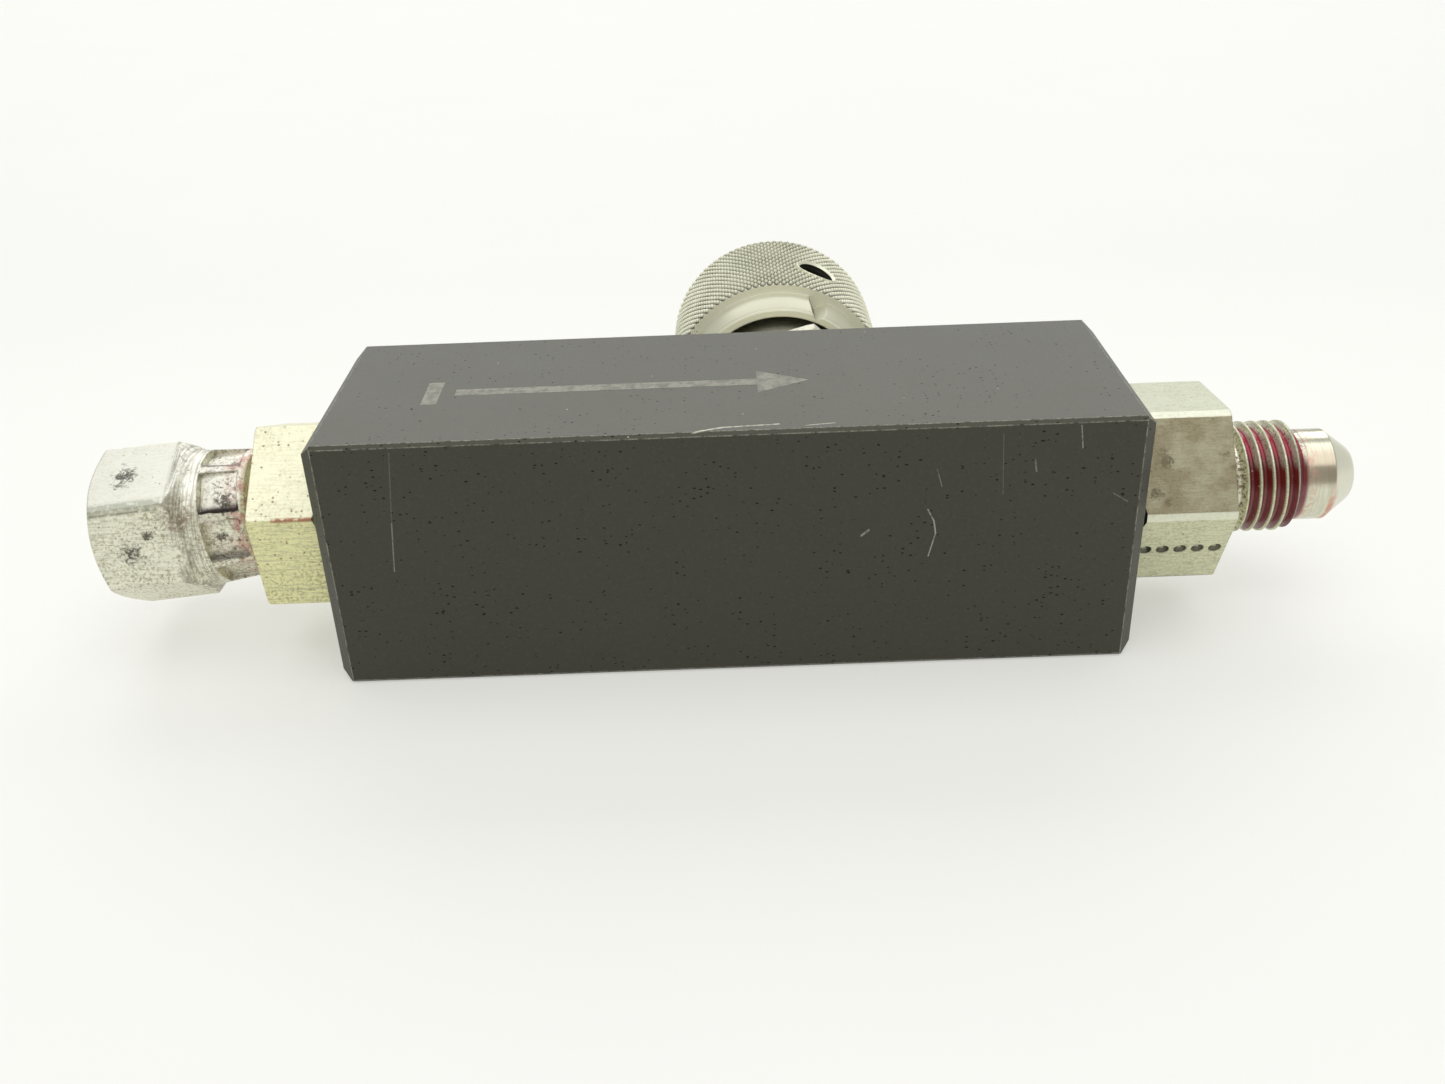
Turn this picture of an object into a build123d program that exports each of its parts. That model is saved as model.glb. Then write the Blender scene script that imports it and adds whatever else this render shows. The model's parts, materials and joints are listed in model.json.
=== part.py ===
"""In-line flow control valve: square steel body, needle with a knurled knob, check ball, two hose adapters.

Units are millimetres.  X runs along the body from the inlet (-X) to the outlet (+X), Y runs from the
plain front face to the knob behind the body, Z is up.  The origin is the centre of the body's underside.
"""
import os
from math import cos, radians, sin, sqrt, tan

from build123d import *

os.makedirs("parts", exist_ok=True)

# ---------------------------------------------------------------- driving dimensions
BODY_LENGTH = 77.0                  # square bar, one inch across
BODY_SIDE = 25.4
END_CHAMFER = 1.09                  # all round both end faces
EDGE_BREAK = 0.34                   # the four long edges
AXIS_Z = BODY_SIDE / 2
HALF_LENGTH = BODY_LENGTH / 2
HALF_SIDE = BODY_SIDE / 2

GAP = 0.02                          # between parts that are screwed or pressed together
SLIP = 0.05                         # radial clearance of running parts

PORT_THREAD_R = 7.144               # 9/16-18 straight thread with O-ring
PORT_DRILL_R = 6.45
PORT_DEPTH = 15.0
PORT_THREAD_DEPTH = 12.5
PORT_MOUTH_R = 7.9                  # tapered O-ring seat
PORT_SEAT_DEPTH = 2.4
UNDERCUT_R = 6.2
ADAPTER_THREAD_DEPTH = 9.6
ADAPTER_HEX_AF = 17.46              # 11/16 inch
HEX_LEAD = radians(30)              # corner chamfer of every hexagon

FLARE_THREAD_R = 5.556              # 7/16-20 flare thread
FLARE_ANGLE = radians(37)
FLARE_BORE_R = 2.2
FLARE_NOSE_R = 4.56
FLARE_TIP_R = 2.6
OUTLET_HEX_END = 48.05
OUTLET_THREAD_START = 49.45
OUTLET_THREAD_END = 56.2
OUTLET_TIP = 62.0
OUTLET_HEX_TURN = 65.0              # one corner, from the front (-Y) toward +Z, in degrees
OUTLET_CORNER_FLAT = 0.46           # this hexagon's corners are worn flat

INLET_HEX_END = -45.8
INLET_HEX_TURN = 22.0
TAIL_R = 4.45
TAIL_GROOVE_R = 3.9
TAIL_COLLAR_R = 4.5
TAIL_GROOVE = (-47.2, -50.9)
TAIL_END = -52.5

NUT_PIVOT_X = -49.1                 # middle of the crimp, where the loose nut hangs
NUT_DROOP = radians(5.5)            # its open end hangs below the flow axis
NUT_HEX_AF = 14.29                  # 9/16 inch
NUT_HEX_TURN = 38.5
NUT_FRONT = -12.9                   # stations along the nut, from the pivot
NUT_HEX_END = -5.0
NUT_SHOULDER = -3.7
NUT_BACK = 2.3
NUT_LAND = 1.0                      # half the width of the crimped land inside
NUT_NECK_R = 6.85                   # at the hexagon, tapering to the back
NUT_BACK_R = 6.3
NUT_LEAD_R = 7.1                    # front face inside the corner chamfer
NUT_CRIMPS = 8                      # rectangular dents round the neck
DENT_TURN = 48.0
DENT_LENGTH, DENT_WIDTH, DENT_R = 3.75, 4.1, 5.75
DENT_STATION = -0.25

KNOB_X = 6.35                       # needle, bonnet and knob axis
KNOB_R = 12.6                       # knurl crests
KNOB_TURN = 65.8                    # set screw and index notch, from +X toward +Z, in degrees
HUB_START_Y, HUB_START_R = 24.3, 11.0
KNURL_START_Y, HUB_END_R = 28.45, 11.4
KNURL_END_Y = 45.3
KNURL_EDGE = 0.35
SKIRT_BORE_R = 9.9
NOTCH_R, NOTCH_HALF = 11.3, 1.15    # its corner line and half diagonal
WEB_Y = 33.4
SHAFT_R = 3.175
SHAFT_END_Y = 43.0
SCREW_Y = 36.0
SCREW_R = 2.08                      # number 8 set screw
SCREW_RIM_R = 2.45
SCREW_INNER, SCREW_OUTER = 2.75, 10.6

BONNET_THREAD_R = 9.525             # 3/4-16
BONNET_BOTTOM_Y = 6.6
BONNET_HEX_AF = 22.225              # 7/8 inch
BONNET_HEX_TURN = 75.2
BONNET_HEX_Y = 15.2
BONNET_TOP_Y, BONNET_TOP_R = 29.5, 8.6
BONNET_SEAL_R = 5.3
BONNET_STOP_Y = 18.4                # the stem's shoulder meets it when fully open
STEM_THREAD_R = 4.7625              # 3/8-24
STEM_PITCH = 25.4 / 24

CHAMBER_R = 5.5
CHAMBER_FLOOR_Y = 1.0
SEAT_INSERT_R = 3.6
SEAT_INSERT_Y = (-0.9, 2.0)
ORIFICE_R = 2.0
NEEDLE_BASE_R, NEEDLE_TIP_R = 2.4, 0.5
NEEDLE_HALF_ANGLE = radians(20)
TURNS_OPEN = 3.0                    # turns that the needle stands open as drawn

INLET_WAY_Y, INLET_WAY_R = -3.4, 1.9
OUTLET_WAY_Y, OUTLET_WAY_R = 4.2, 2.0
CHECK_SEAT_X = 12.0
CHECK_BORE_R = 3.0
CHECK_BALL_R = 2.381                # 3/16 inch ball
SPRING_WIRE_R, SPRING_COIL_R, SPRING_TURNS = 0.25, 1.75, 5
RETAINER_X = (21.6, 23.4)
RETAINER_BORE_R = 1.4

# ---------------------------------------------------------------- axes and planes
FLOW_AXIS = Axis((0, 0, AXIS_Z), (1, 0, 0))
FLOW_PROFILE = Plane(origin=(0, 0, AXIS_Z), x_dir=(1, 0, 0), z_dir=(0, 0, 1))
NUT_CENTRE = (NUT_PIVOT_X, 0, AXIS_Z)
NUT_WAY = (cos(NUT_DROOP), 0, sin(NUT_DROOP))
NUT_UP = (-sin(NUT_DROOP), 0, cos(NUT_DROOP))
NUT_AXIS = Axis(NUT_CENTRE, NUT_WAY)
NUT_PROFILE = Plane(origin=NUT_CENTRE, x_dir=NUT_WAY, z_dir=NUT_UP)
KNOB_AXIS = Axis((KNOB_X, 0, AXIS_Z), (0, 1, 0))
KNOB_PROFILE = Plane(origin=(KNOB_X, 0, AXIS_Z), x_dir=(1, 0, 0), z_dir=(0, 0, 1))
CHECK_AXIS = Axis((0, INLET_WAY_Y, AXIS_Z), (1, 0, 0))
CHECK_PROFILE = Plane(origin=(0, INLET_WAY_Y, AXIS_Z), x_dir=(1, 0, 0), z_dir=(0, 0, 1))


def across_flow(x, y=0.0):
    """Plane across the flow axis, its angle counted from the front (-Y) toward +Z."""
    return Plane(origin=(x, y, AXIS_Z), x_dir=(0, -1, 0), z_dir=(-1, 0, 0))


def across_knob(y):
    """Plane across the knob's axis, its angle counted from +X toward +Z."""
    return Plane(origin=(KNOB_X, y, AXIS_Z), x_dir=(1, 0, 0), z_dir=(0, -1, 0))


def corner_radius(across_flats):
    return across_flats / 2 / cos(radians(30))


def lead(across_flats, face_radius):
    """Axial length of a hexagon's corner chamfer, down from a round face of this radius."""
    return (corner_radius(across_flats) - face_radius) * tan(HEX_LEAD)


def turned(profile, axis, points):
    """A turned part from its half section."""
    with BuildPart() as piece:
        with BuildSketch(profile):
            with BuildLine():
                Polyline(*points, close=True)
            make_face()
        revolve(axis=axis)
    return piece


def seal_ring(profile, axis, along, radii, along_is_y):
    """A squeezed O-ring: a rounded section between two radii and two stations along the axis."""
    length, height = abs(along[1] - along[0]), radii[1] - radii[0]
    centre = ((along[0] + along[1]) / 2, (radii[0] + radii[1]) / 2)
    size = (height, length) if along_is_y else (length, height)
    with BuildPart() as ring:
        with BuildSketch(profile):
            with Locations(centre[::-1] if along_is_y else centre):
                RectangleRounded(*size, 0.42 * min(size))
        revolve(axis=axis)
    return ring


# ---------------------------------------------------------------- valve body
def port_profile(side):
    """Half section of one port, side -1 for the inlet and +1 for the outlet."""
    face = HALF_LENGTH
    bottom = face - PORT_DEPTH
    return [
        (side * (face + 1), 0),
        (side * (face + 1), PORT_MOUTH_R),
        (side * face, PORT_MOUTH_R),
        (side * (face - PORT_SEAT_DEPTH), PORT_THREAD_R + 2 * GAP),
        (side * (face - PORT_THREAD_DEPTH), PORT_THREAD_R + 2 * GAP),
        (side * (face - PORT_THREAD_DEPTH - 0.6), PORT_DRILL_R),
        (side * bottom, PORT_DRILL_R),
        (side * bottom, 0),
    ]


bonnet_mouth_r = BONNET_THREAD_R + 1.0
bonnet_bore = [
    (0, CHAMBER_FLOOR_Y),
    (CHAMBER_R, CHAMBER_FLOOR_Y),
    (CHAMBER_R, BONNET_BOTTOM_Y - 0.1),
    (BONNET_THREAD_R + GAP, BONNET_BOTTOM_Y - 0.1),
    (BONNET_THREAD_R + GAP, HALF_SIDE - 2.2),
    (bonnet_mouth_r, HALF_SIDE),
    (bonnet_mouth_r, HALF_SIDE + 1),
    (0, HALF_SIDE + 1),
]

with BuildPart() as valve_body:
    with Locations((0, 0, AXIS_Z)):
        Box(BODY_LENGTH, BODY_SIDE, BODY_SIDE)
    for end in (0, -1):
        chamfer(valve_body.faces().sort_by(Axis.X)[end].edges(), END_CHAMFER)
    with BuildSketch(across_flow(HALF_LENGTH)) as bar_section:
        Rectangle(BODY_SIDE, BODY_SIDE)
        chamfer(bar_section.vertices(), EDGE_BREAK)
    extrude(amount=BODY_LENGTH, mode=Mode.INTERSECT)
    for side in (-1, 1):
        with BuildSketch(FLOW_PROFILE):
            with BuildLine():
                Polyline(*port_profile(side), close=True)
            make_face()
        revolve(axis=FLOW_AXIS, mode=Mode.SUBTRACT)
    with BuildSketch(KNOB_PROFILE):
        with BuildLine():
            Polyline(*bonnet_bore, close=True)
        make_face()
    revolve(axis=KNOB_AXIS, mode=Mode.SUBTRACT)
    # Pocket of the needle seat, and the way from it into the inlet passage.
    with BuildSketch(across_knob(SEAT_INSERT_Y[0])):
        Circle(SEAT_INSERT_R)
    extrude(amount=-(CHAMBER_FLOOR_Y - SEAT_INSERT_Y[0] + 0.5), mode=Mode.SUBTRACT)
    with BuildSketch(across_knob(INLET_WAY_Y)):
        Circle(ORIFICE_R)
    extrude(amount=-(SEAT_INSERT_Y[0] - INLET_WAY_Y + 0.5), mode=Mode.SUBTRACT)
    # Passages along the body: inlet way, check bore and outlet way.
    with BuildSketch(across_flow(CHECK_SEAT_X + 0.5, INLET_WAY_Y)):
        Circle(INLET_WAY_R)
    extrude(amount=CHECK_SEAT_X + HALF_LENGTH - PORT_DEPTH + 1, mode=Mode.SUBTRACT)
    with BuildSketch(across_flow(CHECK_SEAT_X, INLET_WAY_Y)):
        Circle(CHECK_BORE_R)
    extrude(amount=-(HALF_LENGTH - PORT_DEPTH + 0.5 - CHECK_SEAT_X), mode=Mode.SUBTRACT)
    with BuildSketch(across_flow(HALF_LENGTH - PORT_DEPTH + 0.5, OUTLET_WAY_Y)):
        Circle(OUTLET_WAY_R)
    extrude(amount=HALF_LENGTH - PORT_DEPTH + 0.5 - KNOB_X, mode=Mode.SUBTRACT)
valve_body.part.label = "valve_body"
export_step(valve_body.part, "parts/valve_body.step")


# ---------------------------------------------------------------- outlet adapter
def port_end(side, bore_r, bore_to):
    """Half section of an adapter's threaded port end, from its bore to the hexagon's face."""
    face, start = HALF_LENGTH, HALF_LENGTH - ADAPTER_THREAD_DEPTH
    return [
        (side * bore_to, bore_r),
        (side * start, bore_r),
        (side * start, PORT_THREAD_R - 0.8),
        (side * (start + 0.8), PORT_THREAD_R),
        (side * (face - PORT_SEAT_DEPTH), PORT_THREAD_R),
        (side * (face - PORT_SEAT_DEPTH), UNDERCUT_R),
        (side * face, UNDERCUT_R),
    ]


adapter_ac = corner_radius(ADAPTER_HEX_AF)
washer_r = ADAPTER_HEX_AF / 2 - 0.43
hex_lead = lead(ADAPTER_HEX_AF, washer_r)
HEX_END_BREAK = 0.2
WIDE_BORE_R = 3.75
wide_bore_end = 43.0
cone_start = OUTLET_TIP - (FLARE_NOSE_R - FLARE_TIP_R) / tan(FLARE_ANGLE)

with BuildPart() as outlet_adapter:
    with BuildSketch(FLOW_PROFILE):
        with BuildLine():
            Polyline(
                (HALF_LENGTH, 0), (HALF_LENGTH, washer_r), (HALF_LENGTH + hex_lead, adapter_ac),
                (OUTLET_HEX_END - HEX_END_BREAK, adapter_ac),
                (OUTLET_HEX_END, adapter_ac - HEX_END_BREAK), (OUTLET_HEX_END, 0),
                close=True,
            )
        make_face()
    revolve(axis=FLOW_AXIS)
    with BuildSketch(across_flow(OUTLET_HEX_END)) as outlet_hexagon:
        RegularPolygon(adapter_ac, 6, rotation=OUTLET_HEX_TURN)
        chamfer(outlet_hexagon.vertices(), OUTLET_CORNER_FLAT)
    extrude(amount=OUTLET_HEX_END - HALF_LENGTH, mode=Mode.INTERSECT)
    with BuildSketch(FLOW_PROFILE):
        with BuildLine():
            Polyline(
                *port_end(1, 0, OUTLET_HEX_END)[1:], (HALF_LENGTH + 1, UNDERCUT_R),
                (HALF_LENGTH + 1, 4.75), (OUTLET_THREAD_START, 4.75),
                (OUTLET_THREAD_START + 0.7, FLARE_THREAD_R), (OUTLET_THREAD_END - 0.8, FLARE_THREAD_R),
                (OUTLET_THREAD_END, FLARE_NOSE_R), (cone_start, FLARE_NOSE_R),
                (OUTLET_TIP - 0.25, FLARE_TIP_R + 0.19), (OUTLET_TIP, FLARE_TIP_R - 0.1), (OUTLET_TIP, 0),
                close=True,
            )
        make_face()
    revolve(axis=FLOW_AXIS)
    with BuildSketch(FLOW_PROFILE):
        with BuildLine():
            Polyline(
                (0, 0), (0, WIDE_BORE_R), (wide_bore_end, WIDE_BORE_R),
                (wide_bore_end + 0.9, FLARE_BORE_R), (OUTLET_TIP + 1, FLARE_BORE_R), (OUTLET_TIP + 1, 0),
                close=True,
            )
        make_face()
    revolve(axis=FLOW_AXIS, mode=Mode.SUBTRACT)
outlet_adapter.part.label = "outlet_adapter"
export_step(outlet_adapter.part, "parts/outlet_adapter.step")

# ---------------------------------------------------------------- inlet adapter with its swivel tail
seat_cone_r = TAIL_COLLAR_R - 0.35
seat_cone_end = TAIL_END + (seat_cone_r - FLARE_BORE_R) / tan(FLARE_ANGLE)

with BuildPart() as inlet_adapter:
    with BuildSketch(FLOW_PROFILE):
        with BuildLine():
            Polyline(
                (-HALF_LENGTH, 0), (-HALF_LENGTH, washer_r), (-HALF_LENGTH - hex_lead, adapter_ac),
                (INLET_HEX_END + HEX_END_BREAK, adapter_ac),
                (INLET_HEX_END, adapter_ac - HEX_END_BREAK), (INLET_HEX_END, 0),
                close=True,
            )
        make_face()
    revolve(axis=FLOW_AXIS)
    with BuildSketch(across_flow(-HALF_LENGTH)):
        RegularPolygon(adapter_ac, 6, rotation=INLET_HEX_TURN)
    extrude(amount=-INLET_HEX_END - HALF_LENGTH, mode=Mode.INTERSECT)
    with BuildSketch(FLOW_PROFILE):
        with BuildLine():
            Polyline(
                *port_end(-1, 0, 0)[1:], (-HALF_LENGTH - 1, UNDERCUT_R), (-HALF_LENGTH - 1, TAIL_R),
                (TAIL_GROOVE[0], TAIL_R), (TAIL_GROOVE[0], TAIL_GROOVE_R),
                (TAIL_GROOVE[1], TAIL_GROOVE_R), (TAIL_GROOVE[1], TAIL_COLLAR_R),
                (TAIL_END, TAIL_COLLAR_R), (TAIL_END, 0),
                close=True,
            )
        make_face()
    revolve(axis=FLOW_AXIS)
    with BuildSketch(FLOW_PROFILE):
        with BuildLine():
            Polyline(
                (0, 0), (0, WIDE_BORE_R), (-wide_bore_end, WIDE_BORE_R),
                (-wide_bore_end - 0.9, FLARE_BORE_R), (seat_cone_end, FLARE_BORE_R),
                (TAIL_END, seat_cone_r), (TAIL_END - 1, seat_cone_r), (TAIL_END - 1, 0),
                close=True,
            )
        make_face()
    revolve(axis=FLOW_AXIS, mode=Mode.SUBTRACT)
inlet_adapter.part.label = "inlet_adapter"
export_step(inlet_adapter.part, "parts/inlet_adapter.step")

# ---------------------------------------------------------------- swivel nut, crimped onto the tail
def across_nut(station):
    """Plane across the nut's own axis, its angle counted like across_flow."""
    along = [-component for component in NUT_WAY]
    origin = [centre + station * way for centre, way in zip(NUT_CENTRE, NUT_WAY)]
    return Plane(origin=origin, x_dir=(0, -1, 0), z_dir=along)


nut_ac = corner_radius(NUT_HEX_AF)
crimp_land_r = TAIL_GROOVE_R + 2 * SLIP
nut_bore_r = FLARE_THREAD_R + SLIP
tail_room_r = TAIL_COLLAR_R + 0.5
back_room_r = TAIL_R + 0.4

with BuildPart() as inlet_swivel_nut:
    with BuildSketch(NUT_PROFILE):
        with BuildLine():
            Polyline(
                (NUT_FRONT, 0), (NUT_FRONT, NUT_LEAD_R),
                (NUT_FRONT + lead(NUT_HEX_AF, NUT_LEAD_R), nut_ac), (NUT_HEX_END, nut_ac),
                (NUT_HEX_END + (nut_ac - NUT_NECK_R), NUT_NECK_R),
                (NUT_BACK - 0.4, NUT_BACK_R), (NUT_BACK, NUT_BACK_R - 0.3), (NUT_BACK, 0),
                close=True,
            )
        make_face()
    revolve(axis=NUT_AXIS)
    with BuildSketch(across_nut(NUT_BACK)):
        RegularPolygon(nut_ac, 6, rotation=NUT_HEX_TURN)
    extrude(amount=NUT_BACK - NUT_FRONT, mode=Mode.INTERSECT)
    with BuildSketch(NUT_PROFILE):
        with BuildLine():
            Polyline(
                (NUT_FRONT - 1, 0), (NUT_FRONT - 1, nut_bore_r + 0.4), (NUT_FRONT, nut_bore_r + 0.4),
                (NUT_FRONT + 0.5, nut_bore_r), (NUT_SHOULDER, nut_bore_r), (NUT_SHOULDER + 0.3, tail_room_r),
                (-NUT_LAND, tail_room_r), (-NUT_LAND, crimp_land_r), (NUT_LAND, crimp_land_r),
                (NUT_LAND, back_room_r), (NUT_BACK + 1, back_room_r), (NUT_BACK + 1, 0),
                close=True,
            )
        make_face()
    revolve(axis=NUT_AXIS, mode=Mode.SUBTRACT)
    # Crimp dents round the neck.
    with BuildSketch(across_nut(DENT_STATION)):
        with PolarLocations(DENT_R + 1, NUT_CRIMPS, start_angle=DENT_TURN):
            Rectangle(2, DENT_WIDTH)
    extrude(amount=DENT_LENGTH / 2, both=True, mode=Mode.SUBTRACT)
inlet_swivel_nut.part.label = "inlet_swivel_nut"
export_step(inlet_swivel_nut.part, "parts/inlet_swivel_nut.step")

# ---------------------------------------------------------------- port seals
seal_span = (HALF_LENGTH - PORT_SEAT_DEPTH + 0.15, HALF_LENGTH - 0.08)
seal_radii = (UNDERCUT_R + GAP, 7.3)
outlet_port_oring = seal_ring(FLOW_PROFILE, FLOW_AXIS, seal_span, seal_radii, False)
outlet_port_oring.part.label = "outlet_port_oring"
export_step(outlet_port_oring.part, "parts/outlet_port_oring.step")

inlet_port_oring = seal_ring(FLOW_PROFILE, FLOW_AXIS, (-seal_span[0], -seal_span[1]), seal_radii, False)
inlet_port_oring.part.label = "inlet_port_oring"
export_step(inlet_port_oring.part, "parts/inlet_port_oring.step")

# ---------------------------------------------------------------- bonnet
bonnet_ac = corner_radius(BONNET_HEX_AF)
bonnet_washer_r = BONNET_HEX_AF / 2 - 0.15
bonnet_undercut_r = BONNET_THREAD_R - 1.0

with BuildPart() as bonnet:
    with BuildSketch(KNOB_PROFILE):
        with BuildLine():
            Polyline(
                (0, HALF_SIDE), (bonnet_washer_r, HALF_SIDE),
                (bonnet_ac, HALF_SIDE + lead(BONNET_HEX_AF, bonnet_washer_r)),
                (bonnet_ac, BONNET_HEX_Y - HEX_END_BREAK), (bonnet_ac - 0.35, BONNET_HEX_Y), (0, BONNET_HEX_Y),
                close=True,
            )
        make_face()
    revolve(axis=KNOB_AXIS)
    with BuildSketch(across_knob(HALF_SIDE)):
        RegularPolygon(bonnet_ac, 6, rotation=BONNET_HEX_TURN)
    extrude(amount=-(BONNET_HEX_Y - HALF_SIDE), mode=Mode.INTERSECT)
    with BuildSketch(KNOB_PROFILE):
        with BuildLine():
            Polyline(
                (0, BONNET_BOTTOM_Y), (BONNET_THREAD_R - 0.6, BONNET_BOTTOM_Y),
                (BONNET_THREAD_R, BONNET_BOTTOM_Y + 0.6), (BONNET_THREAD_R, HALF_SIDE - 2.3),
                (bonnet_undercut_r, HALF_SIDE - 2.3), (bonnet_undercut_r, HALF_SIDE + 1),
                (BONNET_TOP_R, HALF_SIDE + 1), (BONNET_TOP_R, BONNET_TOP_Y - 0.5),
                (BONNET_TOP_R - 0.5, BONNET_TOP_Y), (0, BONNET_TOP_Y),
                close=True,
            )
        make_face()
    revolve(axis=KNOB_AXIS)
    with BuildSketch(KNOB_PROFILE):
        with BuildLine():
            Polyline(
                (0, 0), (BONNET_SEAL_R, 0), (BONNET_SEAL_R, BONNET_STOP_Y),
                (STEM_THREAD_R + SLIP, BONNET_STOP_Y), (STEM_THREAD_R + SLIP, BONNET_TOP_Y - 0.4),
                (STEM_THREAD_R + SLIP + 0.4, BONNET_TOP_Y), (STEM_THREAD_R + SLIP + 0.4, BONNET_TOP_Y + 1),
                (0, BONNET_TOP_Y + 1),
                close=True,
            )
        make_face()
    revolve(axis=KNOB_AXIS, mode=Mode.SUBTRACT)
bonnet.part.label = "bonnet"
export_step(bonnet.part, "parts/bonnet.step")

bonnet_oring = seal_ring(
    KNOB_PROFILE, KNOB_AXIS, (HALF_SIDE - 2.05, HALF_SIDE - 0.08), (bonnet_undercut_r + GAP, 9.75), True,
)
bonnet_oring.part.label = "bonnet_oring"
export_step(bonnet_oring.part, "parts/bonnet_oring.step")

# ---------------------------------------------------------------- needle seat, needle and stem
needle_seat = turned(KNOB_PROFILE, KNOB_AXIS, [
    (ORIFICE_R, SEAT_INSERT_Y[0] + GAP), (SEAT_INSERT_R - GAP, SEAT_INSERT_Y[0] + GAP),
    (SEAT_INSERT_R - GAP, SEAT_INSERT_Y[1] - 0.3), (SEAT_INSERT_R - 0.3, SEAT_INSERT_Y[1]),
    (ORIFICE_R, SEAT_INSERT_Y[1]),
])
needle_seat.part.label = "needle_seat"
export_step(needle_seat.part, "parts/needle_seat.step")

open_travel = TURNS_OPEN * STEM_PITCH
seat_contact_y = SEAT_INSERT_Y[1] + open_travel + 0.03
needle_tip_y = seat_contact_y - (ORIFICE_R - NEEDLE_TIP_R) / tan(NEEDLE_HALF_ANGLE)
needle_base_y = seat_contact_y + (NEEDLE_BASE_R - ORIFICE_R) / tan(NEEDLE_HALF_ANGLE)
stem_foot_y = needle_base_y + 0.6
NEEDLE_SHANK_R, NEEDLE_SHANK_LENGTH = 1.5, 5.0

needle = turned(KNOB_PROFILE, KNOB_AXIS, [
    (0, needle_tip_y), (NEEDLE_TIP_R, needle_tip_y), (NEEDLE_BASE_R, needle_base_y),
    (NEEDLE_BASE_R, stem_foot_y - GAP), (NEEDLE_SHANK_R - GAP, stem_foot_y - GAP),
    (NEEDLE_SHANK_R - GAP, stem_foot_y + NEEDLE_SHANK_LENGTH - 0.1), (0, stem_foot_y + NEEDLE_SHANK_LENGTH - 0.1),
])
needle.part.label = "needle"
export_step(needle.part, "parts/needle.step")

GROOVE_R = 3.75
piston_y, piston_end_y = stem_foot_y + 0.4, BONNET_STOP_Y - open_travel - 0.02
groove_y = (piston_end_y - 4.7, piston_end_y - 1.4)
piston_r = BONNET_SEAL_R - SLIP
thread_start_y, thread_end_y = piston_end_y + 0.7, 27.0
screw_way = (cos(radians(KNOB_TURN)), 0, sin(radians(KNOB_TURN)))
FLAT_R = 2.7

with BuildPart() as stem:
    with BuildSketch(KNOB_PROFILE):
        with BuildLine():
            Polyline(
                (0, stem_foot_y), (piston_r - 1.4, stem_foot_y), (piston_r, piston_y + 1.0),
                (piston_r, groove_y[0]), (GROOVE_R, groove_y[0]), (GROOVE_R, groove_y[1]),
                (piston_r, groove_y[1]), (piston_r, piston_end_y), (4.0, piston_end_y), (4.0, thread_start_y),
                (STEM_THREAD_R, thread_start_y + 0.6), (STEM_THREAD_R, thread_end_y - 0.6),
                (4.0, thread_end_y), (SHAFT_R, thread_end_y), (SHAFT_R, SHAFT_END_Y - 0.4),
                (SHAFT_R - 0.4, SHAFT_END_Y), (0, SHAFT_END_Y),
                close=True,
            )
        make_face()
    revolve(axis=KNOB_AXIS)
    with BuildSketch(across_knob(stem_foot_y - 0.5)):
        Circle(NEEDLE_SHANK_R)
    extrude(amount=-(NEEDLE_SHANK_LENGTH + 0.5), mode=Mode.SUBTRACT)
    # Flat for the set screw.
    with BuildSketch(Plane(
        origin=(KNOB_X + FLAT_R * screw_way[0], (WEB_Y + SHAFT_END_Y) / 2, AXIS_Z + FLAT_R * screw_way[2]),
        x_dir=(0, 1, 0), z_dir=screw_way,
    )):
        Rectangle(SHAFT_END_Y - WEB_Y + 2, 2 * SHAFT_R)
    extrude(amount=SHAFT_R, mode=Mode.SUBTRACT)
stem.part.label = "stem"
export_step(stem.part, "parts/stem.step")

stem_oring = seal_ring(
    KNOB_PROFILE, KNOB_AXIS, (groove_y[0] + 0.05, groove_y[0] + 1.95),
    (GROOVE_R + SLIP, BONNET_SEAL_R - GAP), True,
)
stem_oring.part.label = "stem_oring"
export_step(stem_oring.part, "parts/stem_oring.step")

stem_backup_ring = turned(KNOB_PROFILE, KNOB_AXIS, [
    (GROOVE_R + SLIP, groove_y[0] + 2.0), (BONNET_SEAL_R - GAP, groove_y[0] + 2.0),
    (BONNET_SEAL_R - GAP, groove_y[1] - 0.05), (GROOVE_R + SLIP, groove_y[1] - 0.05),
])
stem_backup_ring.part.label = "stem_backup_ring"
export_step(stem_backup_ring.part, "parts/stem_backup_ring.step")

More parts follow.
